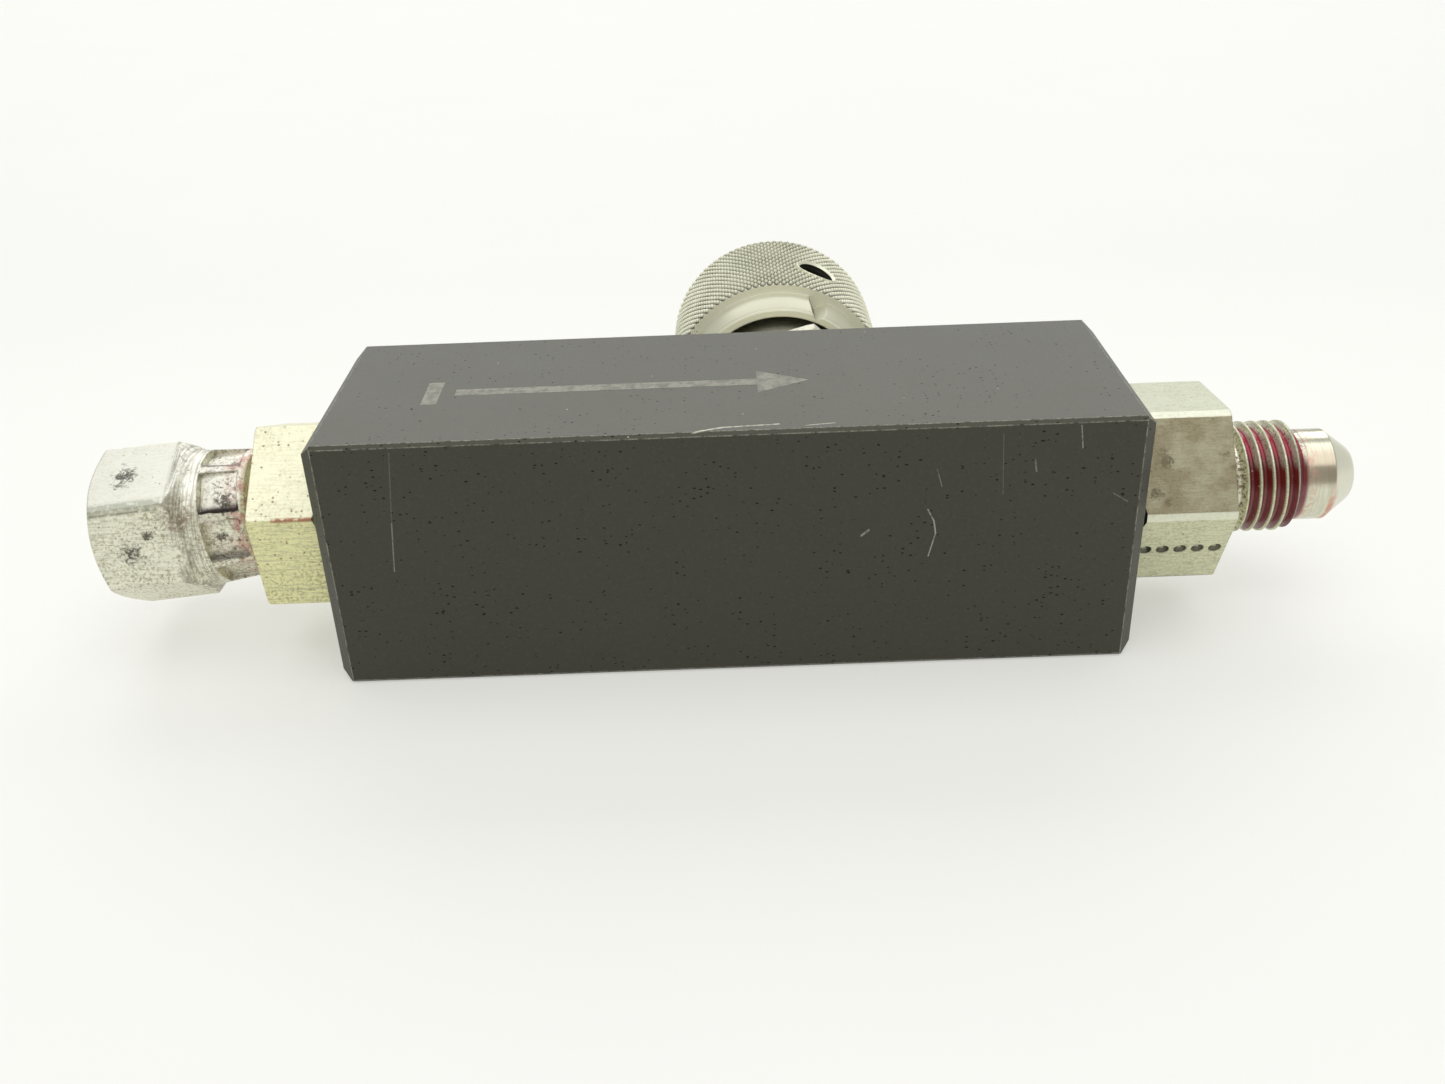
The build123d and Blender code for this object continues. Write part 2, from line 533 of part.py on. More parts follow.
# ---------------------------------------------------------------- knob and its set screw
with BuildPart() as knob:
    with BuildSketch(KNOB_PROFILE):
        with BuildLine():
            Polyline(
                (0, HUB_START_Y), (HUB_START_R - 0.3, HUB_START_Y), (HUB_START_R, HUB_START_Y + 0.3),
                (HUB_END_R, KNURL_START_Y), (KNOB_R - KNURL_EDGE, KNURL_START_Y),
                (KNOB_R, KNURL_START_Y + KNURL_EDGE), (KNOB_R, KNURL_END_Y - KNURL_EDGE),
                (KNOB_R - KNURL_EDGE, KNURL_END_Y), (0, KNURL_END_Y),
                close=True,
            )
        make_face()
    revolve(axis=KNOB_AXIS)
    with BuildSketch(KNOB_PROFILE):
        with BuildLine():
            Polyline(
                (0, HUB_START_Y - 1), (SKIRT_BORE_R, HUB_START_Y - 1), (SKIRT_BORE_R, WEB_Y),
                (SHAFT_R + GAP, WEB_Y), (SHAFT_R + GAP, SHAFT_END_Y + 0.3), (0, SHAFT_END_Y + 0.3),
                close=True,
            )
        make_face()
    revolve(axis=KNOB_AXIS, mode=Mode.SUBTRACT)
    # Index notch along the hub.
    with BuildSketch(across_knob(HUB_START_Y - 0.5)):
        with PolarLocations(NOTCH_R, 1, start_angle=KNOB_TURN):
            RegularPolygon(NOTCH_HALF, 4)
    extrude(amount=-(KNURL_START_Y - HUB_START_Y + 0.5), mode=Mode.SUBTRACT)
    # Tapped hole of the set screw with its countersink.
    with BuildSketch(Plane(
        origin=(KNOB_X, SCREW_Y, AXIS_Z), x_dir=(0, 1, 0), z_dir=screw_way,
    )):
        Circle(SCREW_R + GAP)
    extrude(amount=KNOB_R + 1, mode=Mode.SUBTRACT)
    with BuildSketch(Plane(
        origin=(KNOB_X + KNOB_R * screw_way[0], SCREW_Y, AXIS_Z + KNOB_R * screw_way[2]),
        x_dir=(0, 1, 0), z_dir=(-screw_way[0], 0, -screw_way[2]),
    )):
        Circle(SCREW_RIM_R)
    extrude(amount=SCREW_RIM_R - SCREW_R, taper=45, mode=Mode.SUBTRACT)
knob.part.label = "knob"
export_step(knob.part, "parts/knob.step")

with BuildPart() as knob_set_screw:
    with BuildSketch(Plane(
        origin=(KNOB_X + SCREW_INNER * screw_way[0], SCREW_Y, AXIS_Z + SCREW_INNER * screw_way[2]),
        x_dir=(0, 1, 0), z_dir=screw_way,
    )):
        Circle(SCREW_R)
    extrude(amount=SCREW_OUTER - SCREW_INNER)
    chamfer(knob_set_screw.edges().filter_by(GeomType.CIRCLE), 0.4)
    with BuildSketch(Plane(
        origin=(KNOB_X + SCREW_OUTER * screw_way[0], SCREW_Y, AXIS_Z + SCREW_OUTER * screw_way[2]),
        x_dir=(0, 1, 0), z_dir=(-screw_way[0], 0, -screw_way[2]),
    )):
        RegularPolygon(1.15, 6)
    extrude(amount=2.2, mode=Mode.SUBTRACT)
knob_set_screw.part.label = "knob_set_screw"
export_step(knob_set_screw.part, "parts/knob_set_screw.step")

# ---------------------------------------------------------------- check valve
ball_x = CHECK_SEAT_X + sqrt(CHECK_BALL_R**2 - INLET_WAY_R**2) + 0.03
with BuildPart() as check_ball:
    with Locations((ball_x, INLET_WAY_Y, AXIS_Z)):
        Sphere(CHECK_BALL_R)
check_ball.part.label = "check_ball"
export_step(check_ball.part, "parts/check_ball.step")

spring_start = ball_x + sqrt(CHECK_BALL_R**2 - SPRING_COIL_R**2) + 0.45
spring_length = RETAINER_X[0] - SPRING_WIRE_R - 0.06 - spring_start
with BuildPart() as check_spring:
    with BuildLine() as coil:
        Helix(spring_length / SPRING_TURNS, spring_length, SPRING_COIL_R,
              center=(spring_start, INLET_WAY_Y, AXIS_Z), direction=(1, 0, 0))
    with BuildSketch(Plane(origin=coil.line @ 0, z_dir=coil.line % 0)):
        Circle(SPRING_WIRE_R)
    sweep(path=coil.line, is_frenet=True)
check_spring.part.label = "check_spring"
export_step(check_spring.part, "parts/check_spring.step")

check_retainer = turned(CHECK_PROFILE, CHECK_AXIS, [
    (RETAINER_X[0], RETAINER_BORE_R), (RETAINER_X[0], CHECK_BORE_R - GAP),
    (RETAINER_X[1], CHECK_BORE_R - GAP), (RETAINER_X[1], RETAINER_BORE_R),
])
check_retainer.part.label = "check_retainer"
export_step(check_retainer.part, "parts/check_retainer.step")
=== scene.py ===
"""Looks of the flow control valve: knurled knob, cut threads, worn black steel and stained zinc.

Lengths in this script are millimetres and become metres where a mesh is made.  X runs along the body,
Y from the plain front to the knob, Z is up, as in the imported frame.
"""
from math import cos, pi, radians, sin, sqrt, tan
import json

import bmesh
import bpy
from mathutils import Matrix, Vector


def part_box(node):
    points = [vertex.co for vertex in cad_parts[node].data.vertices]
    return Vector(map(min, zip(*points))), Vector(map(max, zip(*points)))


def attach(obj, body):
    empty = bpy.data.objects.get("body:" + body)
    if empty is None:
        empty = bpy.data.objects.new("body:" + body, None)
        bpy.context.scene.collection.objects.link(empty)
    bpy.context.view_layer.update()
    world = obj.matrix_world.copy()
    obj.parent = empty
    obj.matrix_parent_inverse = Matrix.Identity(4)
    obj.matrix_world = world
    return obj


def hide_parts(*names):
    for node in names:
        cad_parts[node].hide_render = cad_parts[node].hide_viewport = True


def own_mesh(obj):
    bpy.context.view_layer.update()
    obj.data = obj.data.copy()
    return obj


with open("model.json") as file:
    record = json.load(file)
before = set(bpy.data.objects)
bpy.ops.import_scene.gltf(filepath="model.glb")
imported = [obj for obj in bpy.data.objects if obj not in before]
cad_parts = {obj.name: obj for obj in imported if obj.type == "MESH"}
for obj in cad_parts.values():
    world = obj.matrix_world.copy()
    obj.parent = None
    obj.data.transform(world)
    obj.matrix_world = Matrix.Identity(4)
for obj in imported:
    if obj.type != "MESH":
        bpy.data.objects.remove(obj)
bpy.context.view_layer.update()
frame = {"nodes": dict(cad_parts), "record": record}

MM = 0.001
NODES = frame["nodes"]


def joint(name):
    return next(j for j in frame["record"]["behaviour"]["joints"] if j["name"] == name)


def box_mm(node):
    low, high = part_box(node)
    return [v / MM for v in low], [v / MM for v in high]


# ---------------------------------------------------------------- places, from the frame
BODY_LOW, BODY_HIGH = box_mm("valve_body")
AXIS_Z = (BODY_LOW[2] + BODY_HIGH[2]) / 2
KNOB_LOW, KNOB_HIGH = box_mm("knob")
KNOB_X = (KNOB_LOW[0] + KNOB_HIGH[0]) / 2
KNOB_R = (KNOB_HIGH[2] - KNOB_LOW[2]) / 2
SCREW_LOW, SCREW_HIGH = box_mm("knob_set_screw")
SCREW_Y = (SCREW_LOW[1] + SCREW_HIGH[1]) / 2
KNOB_TURN = radians(65.8)           # set screw and index notch, from +X toward +Z
NUT_PIVOT = Vector(joint("nut_swivel")["pos_m"]) / MM
NUT_WAY = Vector(joint("nut_swivel")["axis"])          # out of the nut's mouth

THREAD_R = 5.556                    # 7/16-20 flare thread
THREAD_PITCH = 1.27
OUTLET_APOTHEM = 17.46 / 2          # 11/16 inch hexagon
OUTLET_HEX_END = 48.0
FRONT_FACET, PUNCHED_FACET = 35, -25            # elevations of the hexagon's two front faces, in degrees
CONE_FROM, CONE_TO = 59.3, 59.6     # where the nose turns into its cone
NUT_APOTHEM = 7.145                 # 9/16 inch hexagon
NUT_CORNER_R, NUT_CORNER_TURN = 8.1, 38.5       # the nut's corner nearest the front
NUT_DENT_R = 6.0                    # floor of the crimped dents
INLET_CORNER_R, INLET_CORNER_TURN = 10.08, 22


# ---------------------------------------------------------------- mesh helpers
def new_object(name, vertices, faces, smooth_below=None):
    mesh = bpy.data.meshes.new(name)
    mesh.from_pydata([(x * MM, y * MM, z * MM) for x, y, z in vertices], [], faces)
    mesh.validate()
    piece = bpy.data.objects.new(name, mesh)
    bpy.context.scene.collection.objects.link(piece)
    tidy_normals(piece)
    if smooth_below is not None:
        smooth(piece, smooth_below)
    return piece


def tidy_normals(piece):
    work = bmesh.new()
    work.from_mesh(piece.data)
    bmesh.ops.remove_doubles(work, verts=work.verts, dist=1e-7)
    bmesh.ops.recalc_face_normals(work, faces=work.faces)
    work.to_mesh(piece.data)
    work.free()


def smooth(piece, angle, flat_above=1.5):
    """Smooth shading with sharp edges above the angle; faces above that many mm2 stay flat."""
    limit = flat_above * MM * MM
    stored = piece.data.attributes.get("custom_normal")
    if stored:
        piece.data.attributes.remove(stored)
    piece.data.polygons.foreach_set("use_smooth", [face.area < limit for face in piece.data.polygons])
    piece.data.set_sharp_from_angle(angle=angle)


def copy_of(node, name):
    """A closed, welded copy of a CAD node's mesh as a new piece."""
    mesh = NODES[node].data.copy()
    mesh.name = name
    piece = bpy.data.objects.new(name, mesh)
    bpy.context.scene.collection.objects.link(piece)
    if mesh.has_custom_normals:
        mesh.normals_split_custom_set([(0, 0, 0)] * len(mesh.loops))
    tidy_normals(piece)
    return piece


def carve(piece, cutter, operation="DIFFERENCE"):
    """Boolean of two closed meshes, applied; the cutter is used up."""
    modifier = piece.modifiers.new("carve", "BOOLEAN")
    modifier.operation = operation
    modifier.solver = "EXACT"
    modifier.object = cutter
    graph = bpy.context.evaluated_depsgraph_get()
    result = bpy.data.meshes.new_from_object(piece.evaluated_get(graph))
    piece.modifiers.clear()
    old, piece.data = piece.data, result
    bpy.data.meshes.remove(old)
    spent = cutter.data
    bpy.data.objects.remove(cutter)
    bpy.data.meshes.remove(spent)
    tidy_normals(piece)


def bridge(faces, ring, next_ring):
    count = len(ring)
    for i in range(count):
        faces.append((ring[i], ring[(i + 1) % count], next_ring[(i + 1) % count], next_ring[i]))


def helix_solid(name, start, turns, phase, section, steps=72):
    """A closed solid whose section (along, radius) winds right-handed round +X from start."""
    vertices, faces = [], []
    count = len(section)
    total = int(turns * steps)
    for step in range(total + 1):
        turn = step / steps
        angle = phase + 2 * pi * turn
        for along, radius in section:
            vertices.append((start + along + THREAD_PITCH * turn, radius * cos(angle), radius * sin(angle)))
    for step in range(total):
        base = step * count
        for i in range(count):
            j = (i + 1) % count
            faces.append((base + i, base + j, base + count + j, base + count + i))
    faces.append(tuple(range(count)))
    faces.append(tuple(total * count + i for i in range(count)))
    return new_object(name, vertices, faces)


# ---------------------------------------------------------------- knob with its diamond knurl
KNURL_TEETH = 96
KNURL_ROWS = 24                     # half diamonds along the knob; even, so both rims match
KNURL_DEPTH = 0.36
KNURL_RIM = 0.2                     # chamfer at both rims
CREST = 0.24                        # share of each diamond that is its worn, flat top
KNURL_START = KNOB_HIGH[1] - 16.85
NOTCH_R = 11.3


def knob_point(radius, angle, y):
    return (KNOB_X + radius * cos(angle), y, AXIS_Z + radius * sin(angle))


def knurled_knob():
    vertices, faces, seen = [], [], {}
    half = pi / KNURL_TEETH
    row_step = (KNOB_HIGH[1] - KNURL_START) / KNURL_ROWS

    def vertex(i, j, crest):
        """The vertex at lattice place (i, j), on a diamond's top or down in a groove."""
        key = (round(i % (2 * KNURL_TEETH), 3), round(j, 3), crest)
        if key not in seen:
            y = KNURL_START + j * row_step
            rim = min(y - KNURL_START, KNOB_HIGH[1] - y)
            radius = min(KNOB_R, KNOB_R - KNURL_RIM + rim) if crest else KNOB_R - KNURL_DEPTH
            seen[key] = len(vertices)
            vertices.append(knob_point(radius, i * half, y))
        return seen[key]

    for j in range(KNURL_ROWS + 1):
        for i in range((j + 1) % 2, 2 * KNURL_TEETH, 2):
            around = [(-1, 0), (0, -1), (1, 0), (0, 1)]
            if j == 0:
                around = [(1, 0), (0, 1), (-1, 0)]
            elif j == KNURL_ROWS:
                around = [(-1, 0), (0, -1), (1, 0)]
            outer = [vertex(i + di, j + dj, False) for di, dj in around]
            inner = [vertex(i + CREST * di, j + CREST * dj, True) for di, dj in around]
            faces.append(tuple(inner))
            sides = len(around) if len(around) == 4 else 2
            for k in range(sides):
                m = (k + 1) % len(around)
                faces.append((outer[k], outer[m], inner[m], inner[k]))

    angles, near, far = [], [], []
    for tooth in range(KNURL_TEETH):
        for offset, crest in ((0, False), (1 - CREST, True), (1 + CREST, True)):
            angles.append((2 * tooth + offset) * half)
            near.append(vertex(2 * tooth + offset, 0, crest))
            far.append(vertex(2 * tooth + offset, KNURL_ROWS, crest))

    def rings(last, stations):
        for y, radius in stations:
            base = len(vertices)
            vertices.extend(knob_point(radius, angle, y) for angle in angles)
            ring = list(range(base, base + len(angles)))
            bridge(faces, last, ring)
            last = ring
        faces.append(tuple(last))

    hub_y, web_y, shaft_end = KNOB_LOW[1], 33.4, 43.3
    rings(near, [
        (KNURL_START, 12.05), (KNURL_START, 11.55), (KNURL_START - 0.05, 11.43), (KNURL_START - 0.2, 11.38),
        (hub_y + 0.34, 11.02), (hub_y + 0.12, 10.9), (hub_y, 10.66), (hub_y, 10.08), (hub_y + 0.12, 9.93),
        (hub_y + 0.5, 9.9), (web_y, 9.9), (web_y, 3.3), (web_y + 0.1, 3.195), (shaft_end, 3.195),
    ])
    rings(far, [
        (KNOB_HIGH[1], 12.0), (KNOB_HIGH[1], 11.5), (KNOB_HIGH[1] - 0.03, 11.3), (KNOB_HIGH[1] - 0.25, 10.8),
        (KNOB_HIGH[1] - 0.3, 10.5), (KNOB_HIGH[1] - 0.3, 0.5),
    ])
    return new_object("knob_knurled", vertices, faces)


def along_screw(radius, side, y):
    """A point seen from the set screw's axis: radius out from the knob's axis, side across it, at y."""
    c, s = cos(KNOB_TURN), sin(KNOB_TURN)
    return (KNOB_X + radius * c - side * s, y, AXIS_Z + radius * s + side * c)


def screw_hole_cutter(segments=48):
    vertices, faces, last = [], [], None
    for radius, depth in ((2.1, 1.5), (2.1, 11.9), (2.62, 12.62), (2.62, 14.0)):
        base = len(vertices)
        for k in range(segments):
            a = 2 * pi * k / segments
            vertices.append(along_screw(depth, radius * cos(a), SCREW_Y + radius * sin(a)))
        ring = list(range(base, base + segments))
        if last:
            bridge(faces, last, ring)
        else:
            faces.append(tuple(ring))
        last = ring
    faces.append(tuple(last))
    return new_object("screw_hole", vertices, faces)


def notch_cutter():
    corner, half = NOTCH_R, 1.15
    section = [(corner - half, 0), (corner, half), (corner + half, 0), (corner, -half)]
    vertices = [along_screw(r, side, y) for y in (KNOB_LOW[1] - 0.5, KNURL_START) for r, side in section]
    faces = [(0, 1, 2, 3), (4, 5, 6, 7)]
    bridge(faces, [0, 1, 2, 3], [4, 5, 6, 7])
    return new_object("notch", vertices, faces)


def screw_rim(segments=48):
    """The bright turned rim round the set screw's hole, following the knob's curve."""
    vertices, faces, rings = [], [], []
    for radius, sunk in ((2.12, 0.9), (2.12, 0.28), (2.2, 0.2), (2.5, -0.02), (2.58, 0.02), (2.58, 0.9)):
        rings.append(list(range(len(vertices), len(vertices) + segments)))
        for k in range(segments):
            a = 2 * pi * k / segments
            side = radius * cos(a)
            out = sqrt(KNOB_R ** 2 - side ** 2) - sunk
            vertices.append(along_screw(out, side, SCREW_Y + radius * sin(a)))
    for ring, following in zip(rings, rings[1:] + rings[:1]):
        bridge(faces, ring, following)
    return new_object("knob_screw_rim", vertices, faces, radians(30))


rim = screw_rim()
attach(rim, "knob_and_needle")
knob = knurled_knob()
carve(knob, screw_hole_cutter())
carve(knob, notch_cutter())
smooth(knob, radians(24))
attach(knob, "knob_and_needle")
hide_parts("knob")

# ---------------------------------------------------------------- outlet adapter with its cut thread
FLANK = tan(radians(30))
ROOT_R, OUT_R = THREAD_R - 0.74, THREAD_R + 0.06
GROOVE_AT = 49.26                   # first groove's middle where the helix crosses +Y
GROOVE_TURNS = 6.1
ROOT_HALF = 0.13
PUNCH_MARKS, PUNCH_START, PUNCH_STEP = 5, 40.2, 1.7
PUNCH_BALL, PUNCH_LIFT = 0.75, 0.38             # the ball that cuts a mark, its centre above the face


def on_flow_axis(piece):
    """Moves a piece made round the X axis up to the flow axis."""
    piece.data.transform(Matrix.Translation((0, 0, AXIS_Z * MM)))
    return piece


groove_reach = ROOT_HALF + (OUT_R - ROOT_R) * FLANK
outlet = copy_of("outlet_adapter", "outlet_adapter_threaded")
carve(outlet, on_flow_axis(helix_solid("groove", GROOVE_AT - THREAD_PITCH / 4, GROOVE_TURNS, -pi / 2, [
    (-ROOT_HALF, ROOT_R), (ROOT_HALF, ROOT_R), (groove_reach, OUT_R), (-groove_reach, OUT_R),
])))


def punch_marks():
    """A row of plain round punch marks for the lower front face of the outlet's hexagon."""
    elevation = radians(PUNCHED_FACET)
    out = Vector((0, -cos(elevation), sin(elevation)))
    vertices, faces = [], []
    for number in range(PUNCH_MARKS):
        work = bmesh.new()
        bmesh.ops.create_uvsphere(work, u_segments=24, v_segments=16, radius=PUNCH_BALL)
        centre = Vector((PUNCH_START + PUNCH_STEP * number, 0, AXIS_Z)) + out * (OUTLET_APOTHEM + PUNCH_LIFT)
        base = len(vertices)
        vertices.extend(tuple(v.co + centre) for v in work.verts)
        faces.extend(tuple(base + v.index for v in f.verts) for f in work.faces)
        work.free()
    return new_object("punch", vertices, faces)


carve(outlet, punch_marks())
smooth(outlet, radians(22), 2.5)
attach(outlet, "housing")
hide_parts("outlet_adapter")

# ---------------------------------------------------------------- thread inside the swivel nut
NUT_BORE_R, NUT_CREST_R = 5.606, 4.98
NUT_THREAD_START, NUT_THREAD_TURNS = 4.6, 6.0   # start counted from the pivot toward the mouth


def nut_frame():
    """Turns a piece made round the X axis, mouth at +X, into the drooping nut's place."""
    side = Vector((0, 1, 0))
    up = NUT_WAY.cross(side)
    turn = Matrix((NUT_WAY, side, up)).transposed().to_4x4()
    return Matrix.Translation(NUT_PIVOT * MM) @ turn


nut_thread = helix_solid("nut_thread", NUT_THREAD_START, NUT_THREAD_TURNS, 0.0, [
    (-0.55, NUT_BORE_R + 0.1), (-0.1, NUT_CREST_R), (0.1, NUT_CREST_R), (0.55, NUT_BORE_R + 0.1),
], 64)
nut_thread.data.transform(nut_frame())
tidy_normals(nut_thread)
smooth(nut_thread, radians(30))
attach(nut_thread, "swivel_nut")


spring = copy_of("check_spring", "check_spring_coil")
smooth(spring, radians(40))
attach(spring, "housing")
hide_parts("check_spring")
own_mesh(spring)


# ---------------------------------------------------------------- etched flow arrow on the top face
def flat_mark(name, outlines, z, thickness=0.008):
    """Thin closed plates from outlines on the top face, like light etching."""
    vertices, faces = [], []
    for outline in outlines:
        base, count = len(vertices), len(outline)
        vertices.extend((x, y, z - thickness) for x, y in outline)
        vertices.extend((x, y, z + thickness) for x, y in outline)
        faces.append(tuple(base + i for i in reversed(range(count))))
        faces.append(tuple(base + count + i for i in range(count)))
        bridge(faces, [base + i for i in range(count)], [base + count + i for i in range(count)])
    return new_object(name, vertices, faces)


def stroke(x0, y0, x1, y1, width):
    length = sqrt((x1 - x0) ** 2 + (y1 - y0) ** 2)
    nx, ny = -(y1 - y0) / length * width / 2, (x1 - x0) / length * width / 2
    return [(x0 + nx, y0 + ny), (x0 - nx, y0 - ny), (x1 - nx, y1 - ny), (x1 + nx, y1 + ny)]


ARROW_Y, ARROW_START, ARROW_END = -1.2, -26.0, 8.0
ARROW_WIDTH, ARROW_HEAD, ARROW_REACH = 1.5, 5.0, 2.7
ARROW_NECK = ARROW_END - ARROW_HEAD
ARROW_TAIL = ARROW_START - 2.2      # the cross bar behind the shaft
arrow = [
    stroke(ARROW_START, ARROW_Y, ARROW_NECK, ARROW_Y, ARROW_WIDTH),
    [(ARROW_NECK, ARROW_Y - ARROW_REACH), (ARROW_END, ARROW_Y), (ARROW_NECK, ARROW_Y + ARROW_REACH)],
    stroke(ARROW_TAIL, ARROW_Y - ARROW_REACH, ARROW_TAIL, ARROW_Y + ARROW_REACH, ARROW_WIDTH),
]
mark = flat_mark("flow_arrow", arrow, BODY_HIGH[2])
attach(mark, "housing")


# ---------------------------------------------------------------- materials
class Nodes:
    """Short calls for a material's node tree.  A value is a number, a colour or a socket."""

    def __init__(self, name):
        self.material = bpy.data.materials.new(name)
        self.material.use_nodes = True
        self.tree = self.material.node_tree
        self.tree.nodes.clear()
        self.output = self.add("ShaderNodeOutputMaterial")
        self.shader = self.add("ShaderNodeBsdfPrincipled")
        self.tree.links.new(self.shader.outputs[0], self.output.inputs["Surface"])
        coordinate = self.add("ShaderNodeTexCoord").outputs["Object"]
        self.mm = self.vector("MULTIPLY", coordinate, (1 / MM,) * 3)

    def add(self, kind, **settings):
        node = self.tree.nodes.new(kind)
        for key, value in settings.items():
            setattr(node, key, value)
        return node

    def put(self, socket, value):
        if isinstance(value, bpy.types.NodeSocket):
            self.tree.links.new(value, socket)
        elif socket.type == "RGBA" and len(value) == 3:
            socket.default_value = (*value, 1.0)
        else:
            socket.default_value = value

    def set(self, **values):
        for key, value in values.items():
            self.put(self.shader.inputs[key.replace("_", " ")], value)

    def math(self, operation, a, b=0.0, c=0.0, clamp=False):
        node = self.add("ShaderNodeMath", operation=operation, use_clamp=clamp)
        for socket, value in zip(node.inputs, (a, b, c)):
            self.put(socket, value)
        return node.outputs[0]

    def vector(self, operation, a, b=(0, 0, 0)):
        node = self.add("ShaderNodeVectorMath", operation=operation)
        self.put(node.inputs[0], a)
        self.put(node.inputs[1], b)
        return node.outputs["Value" if operation in ("LENGTH", "DOT_PRODUCT", "DISTANCE") else "Vector"]

    def split(self, vector):
        node = self.add("ShaderNodeSeparateXYZ")
        self.put(node.inputs[0], vector)
        return node.outputs

    def stretch(self, x, y, z):
        return self.vector("MULTIPLY", self.mm, (x, y, z))

    def noise(self, scale, detail=3.0, rough=0.55, vector=None, distortion=0.0):
        node = self.add("ShaderNodeTexNoise")
        self.put(node.inputs["Vector"], vector or self.mm)
        settings = {"Scale": scale, "Detail": detail, "Roughness": rough, "Distortion": distortion}
        for key, value in settings.items():
            self.put(node.inputs[key], value)
        return node.outputs["Fac"]

    def cells(self, scale, vector=None, feature="F1", randomness=1.0):
        node = self.add("ShaderNodeTexVoronoi", feature=feature)
        self.put(node.inputs["Vector"], vector or self.mm)
        self.put(node.inputs["Scale"], scale)
        self.put(node.inputs["Randomness"], randomness)
        return node.outputs["Distance"], node.outputs.get("Color")

    def ramp(self, value, low, high, start=0.0, end=1.0):
        """start below low, end above high, smooth between; low may be above high."""
        node = self.add("ShaderNodeMapRange", interpolation_type="SMOOTHSTEP")
        settings = {"Value": value, "From Min": low, "From Max": high, "To Min": start, "To Max": end}
        for key, item in settings.items():
            self.put(node.inputs[key], item)
        return node.outputs[0]

    def mix(self, share, a, b):
        node = self.add("ShaderNodeMix", data_type="RGBA")
        self.put(node.inputs["Factor"], share)
        self.put(node.inputs[6], a)
        self.put(node.inputs[7], b)
        return node.outputs[2]

    def blend(self, share, a, b):
        node = self.add("ShaderNodeMix", data_type="FLOAT")
        self.put(node.inputs["Factor"], share)
        self.put(node.inputs[2], a)
        self.put(node.inputs[3], b)
        return node.outputs[0]

    def product(self, *values):
        result = values[0]
        for value in values[1:]:
            result = self.math("MULTIPLY", result, value)
        return result

    def most(self, *values):
        result = values[0]
        for value in values[1:]:
            result = self.math("MAXIMUM", result, value)
        return result

    def soft_edge(self, radius):
        """The normal rounded over edges, and how strongly an edge bends here."""
        rounded = self.add("ShaderNodeBevel", samples=6)
        self.put(rounded.inputs["Radius"], radius * MM)
        true = self.add("ShaderNodeNewGeometry").outputs["Normal"]
        bend = self.math("SUBTRACT", 1.0, self.vector("DOT_PRODUCT", rounded.outputs[0], true))
        return rounded.outputs[0], bend

    def bump(self, height, distance, strength=1.0, normal=None):
        node = self.add("ShaderNodeBump")
        self.put(node.inputs["Height"], height)
        self.put(node.inputs["Distance"], distance * MM)
        self.put(node.inputs["Strength"], strength)
        if normal is not None:
            self.put(node.inputs["Normal"], normal)
        return node.outputs[0]

    def radius_about(self, centre, axis):
        """Distance from a line through centre along a unit axis, in millimetres."""
        offset = self.vector("SUBTRACT", self.mm, tuple(centre))
        along = self.vector("DOT_PRODUCT", offset, tuple(axis))
        square = self.math("POWER", self.vector("LENGTH", offset), 2.0)
        return self.math("SQRT", self.math("SUBTRACT", square, self.math("POWER", along, 2.0))), along

    def scratch(self, start, end, width, strength):
        """A thin line between two points, broken up a little by noise."""
        start, end = Vector(start), Vector(end)
        way = end - start
        offset = self.vector("SUBTRACT", self.mm, tuple(start))
        reach = self.vector("DOT_PRODUCT", offset, tuple(way))
        share = self.math("DIVIDE", reach, way.length_squared, clamp=True)
        node = self.add("ShaderNodeVectorMath", operation="SCALE")
        node.inputs[0].default_value = tuple(way)
        self.put(node.inputs["Scale"], share)
        gap = self.vector("LENGTH", self.vector("SUBTRACT", offset, node.outputs["Vector"]))
        broken = self.ramp(self.noise(2.2, 2.0), 0.34, 0.50, 0.35, 1.0)
        return self.product(self.ramp(gap, width, width * 0.3), broken, strength)


FLOW_CENTRE = (0.0, 0.0, AXIS_Z)
KNOB_CENTRE = (KNOB_X, 0.0, AXIS_Z)


def round_flow(x, radius, elevation, up=0.0):
    """A place on the outlet: radius toward an elevation above the front (-Y), then up along the face."""
    e = radians(elevation)
    return (x, -radius * cos(e) + up * sin(e), AXIS_Z + radius * sin(e) + up * cos(e))


def round_nut(station, radius, elevation, up=0.0):
    """The same on the swivel nut, its station counted along its own axis from the pivot."""
    e = radians(elevation)
    side, high = Vector((0, -1, 0)), Vector((-NUT_WAY.z, 0, NUT_WAY.x)) * (-1 if NUT_WAY.x < 0 else 1)
    place = NUT_PIVOT - NUT_WAY * station
    return tuple(place + (side * cos(e) + high * sin(e)) * radius + (high * cos(e) - side * sin(e)) * up)


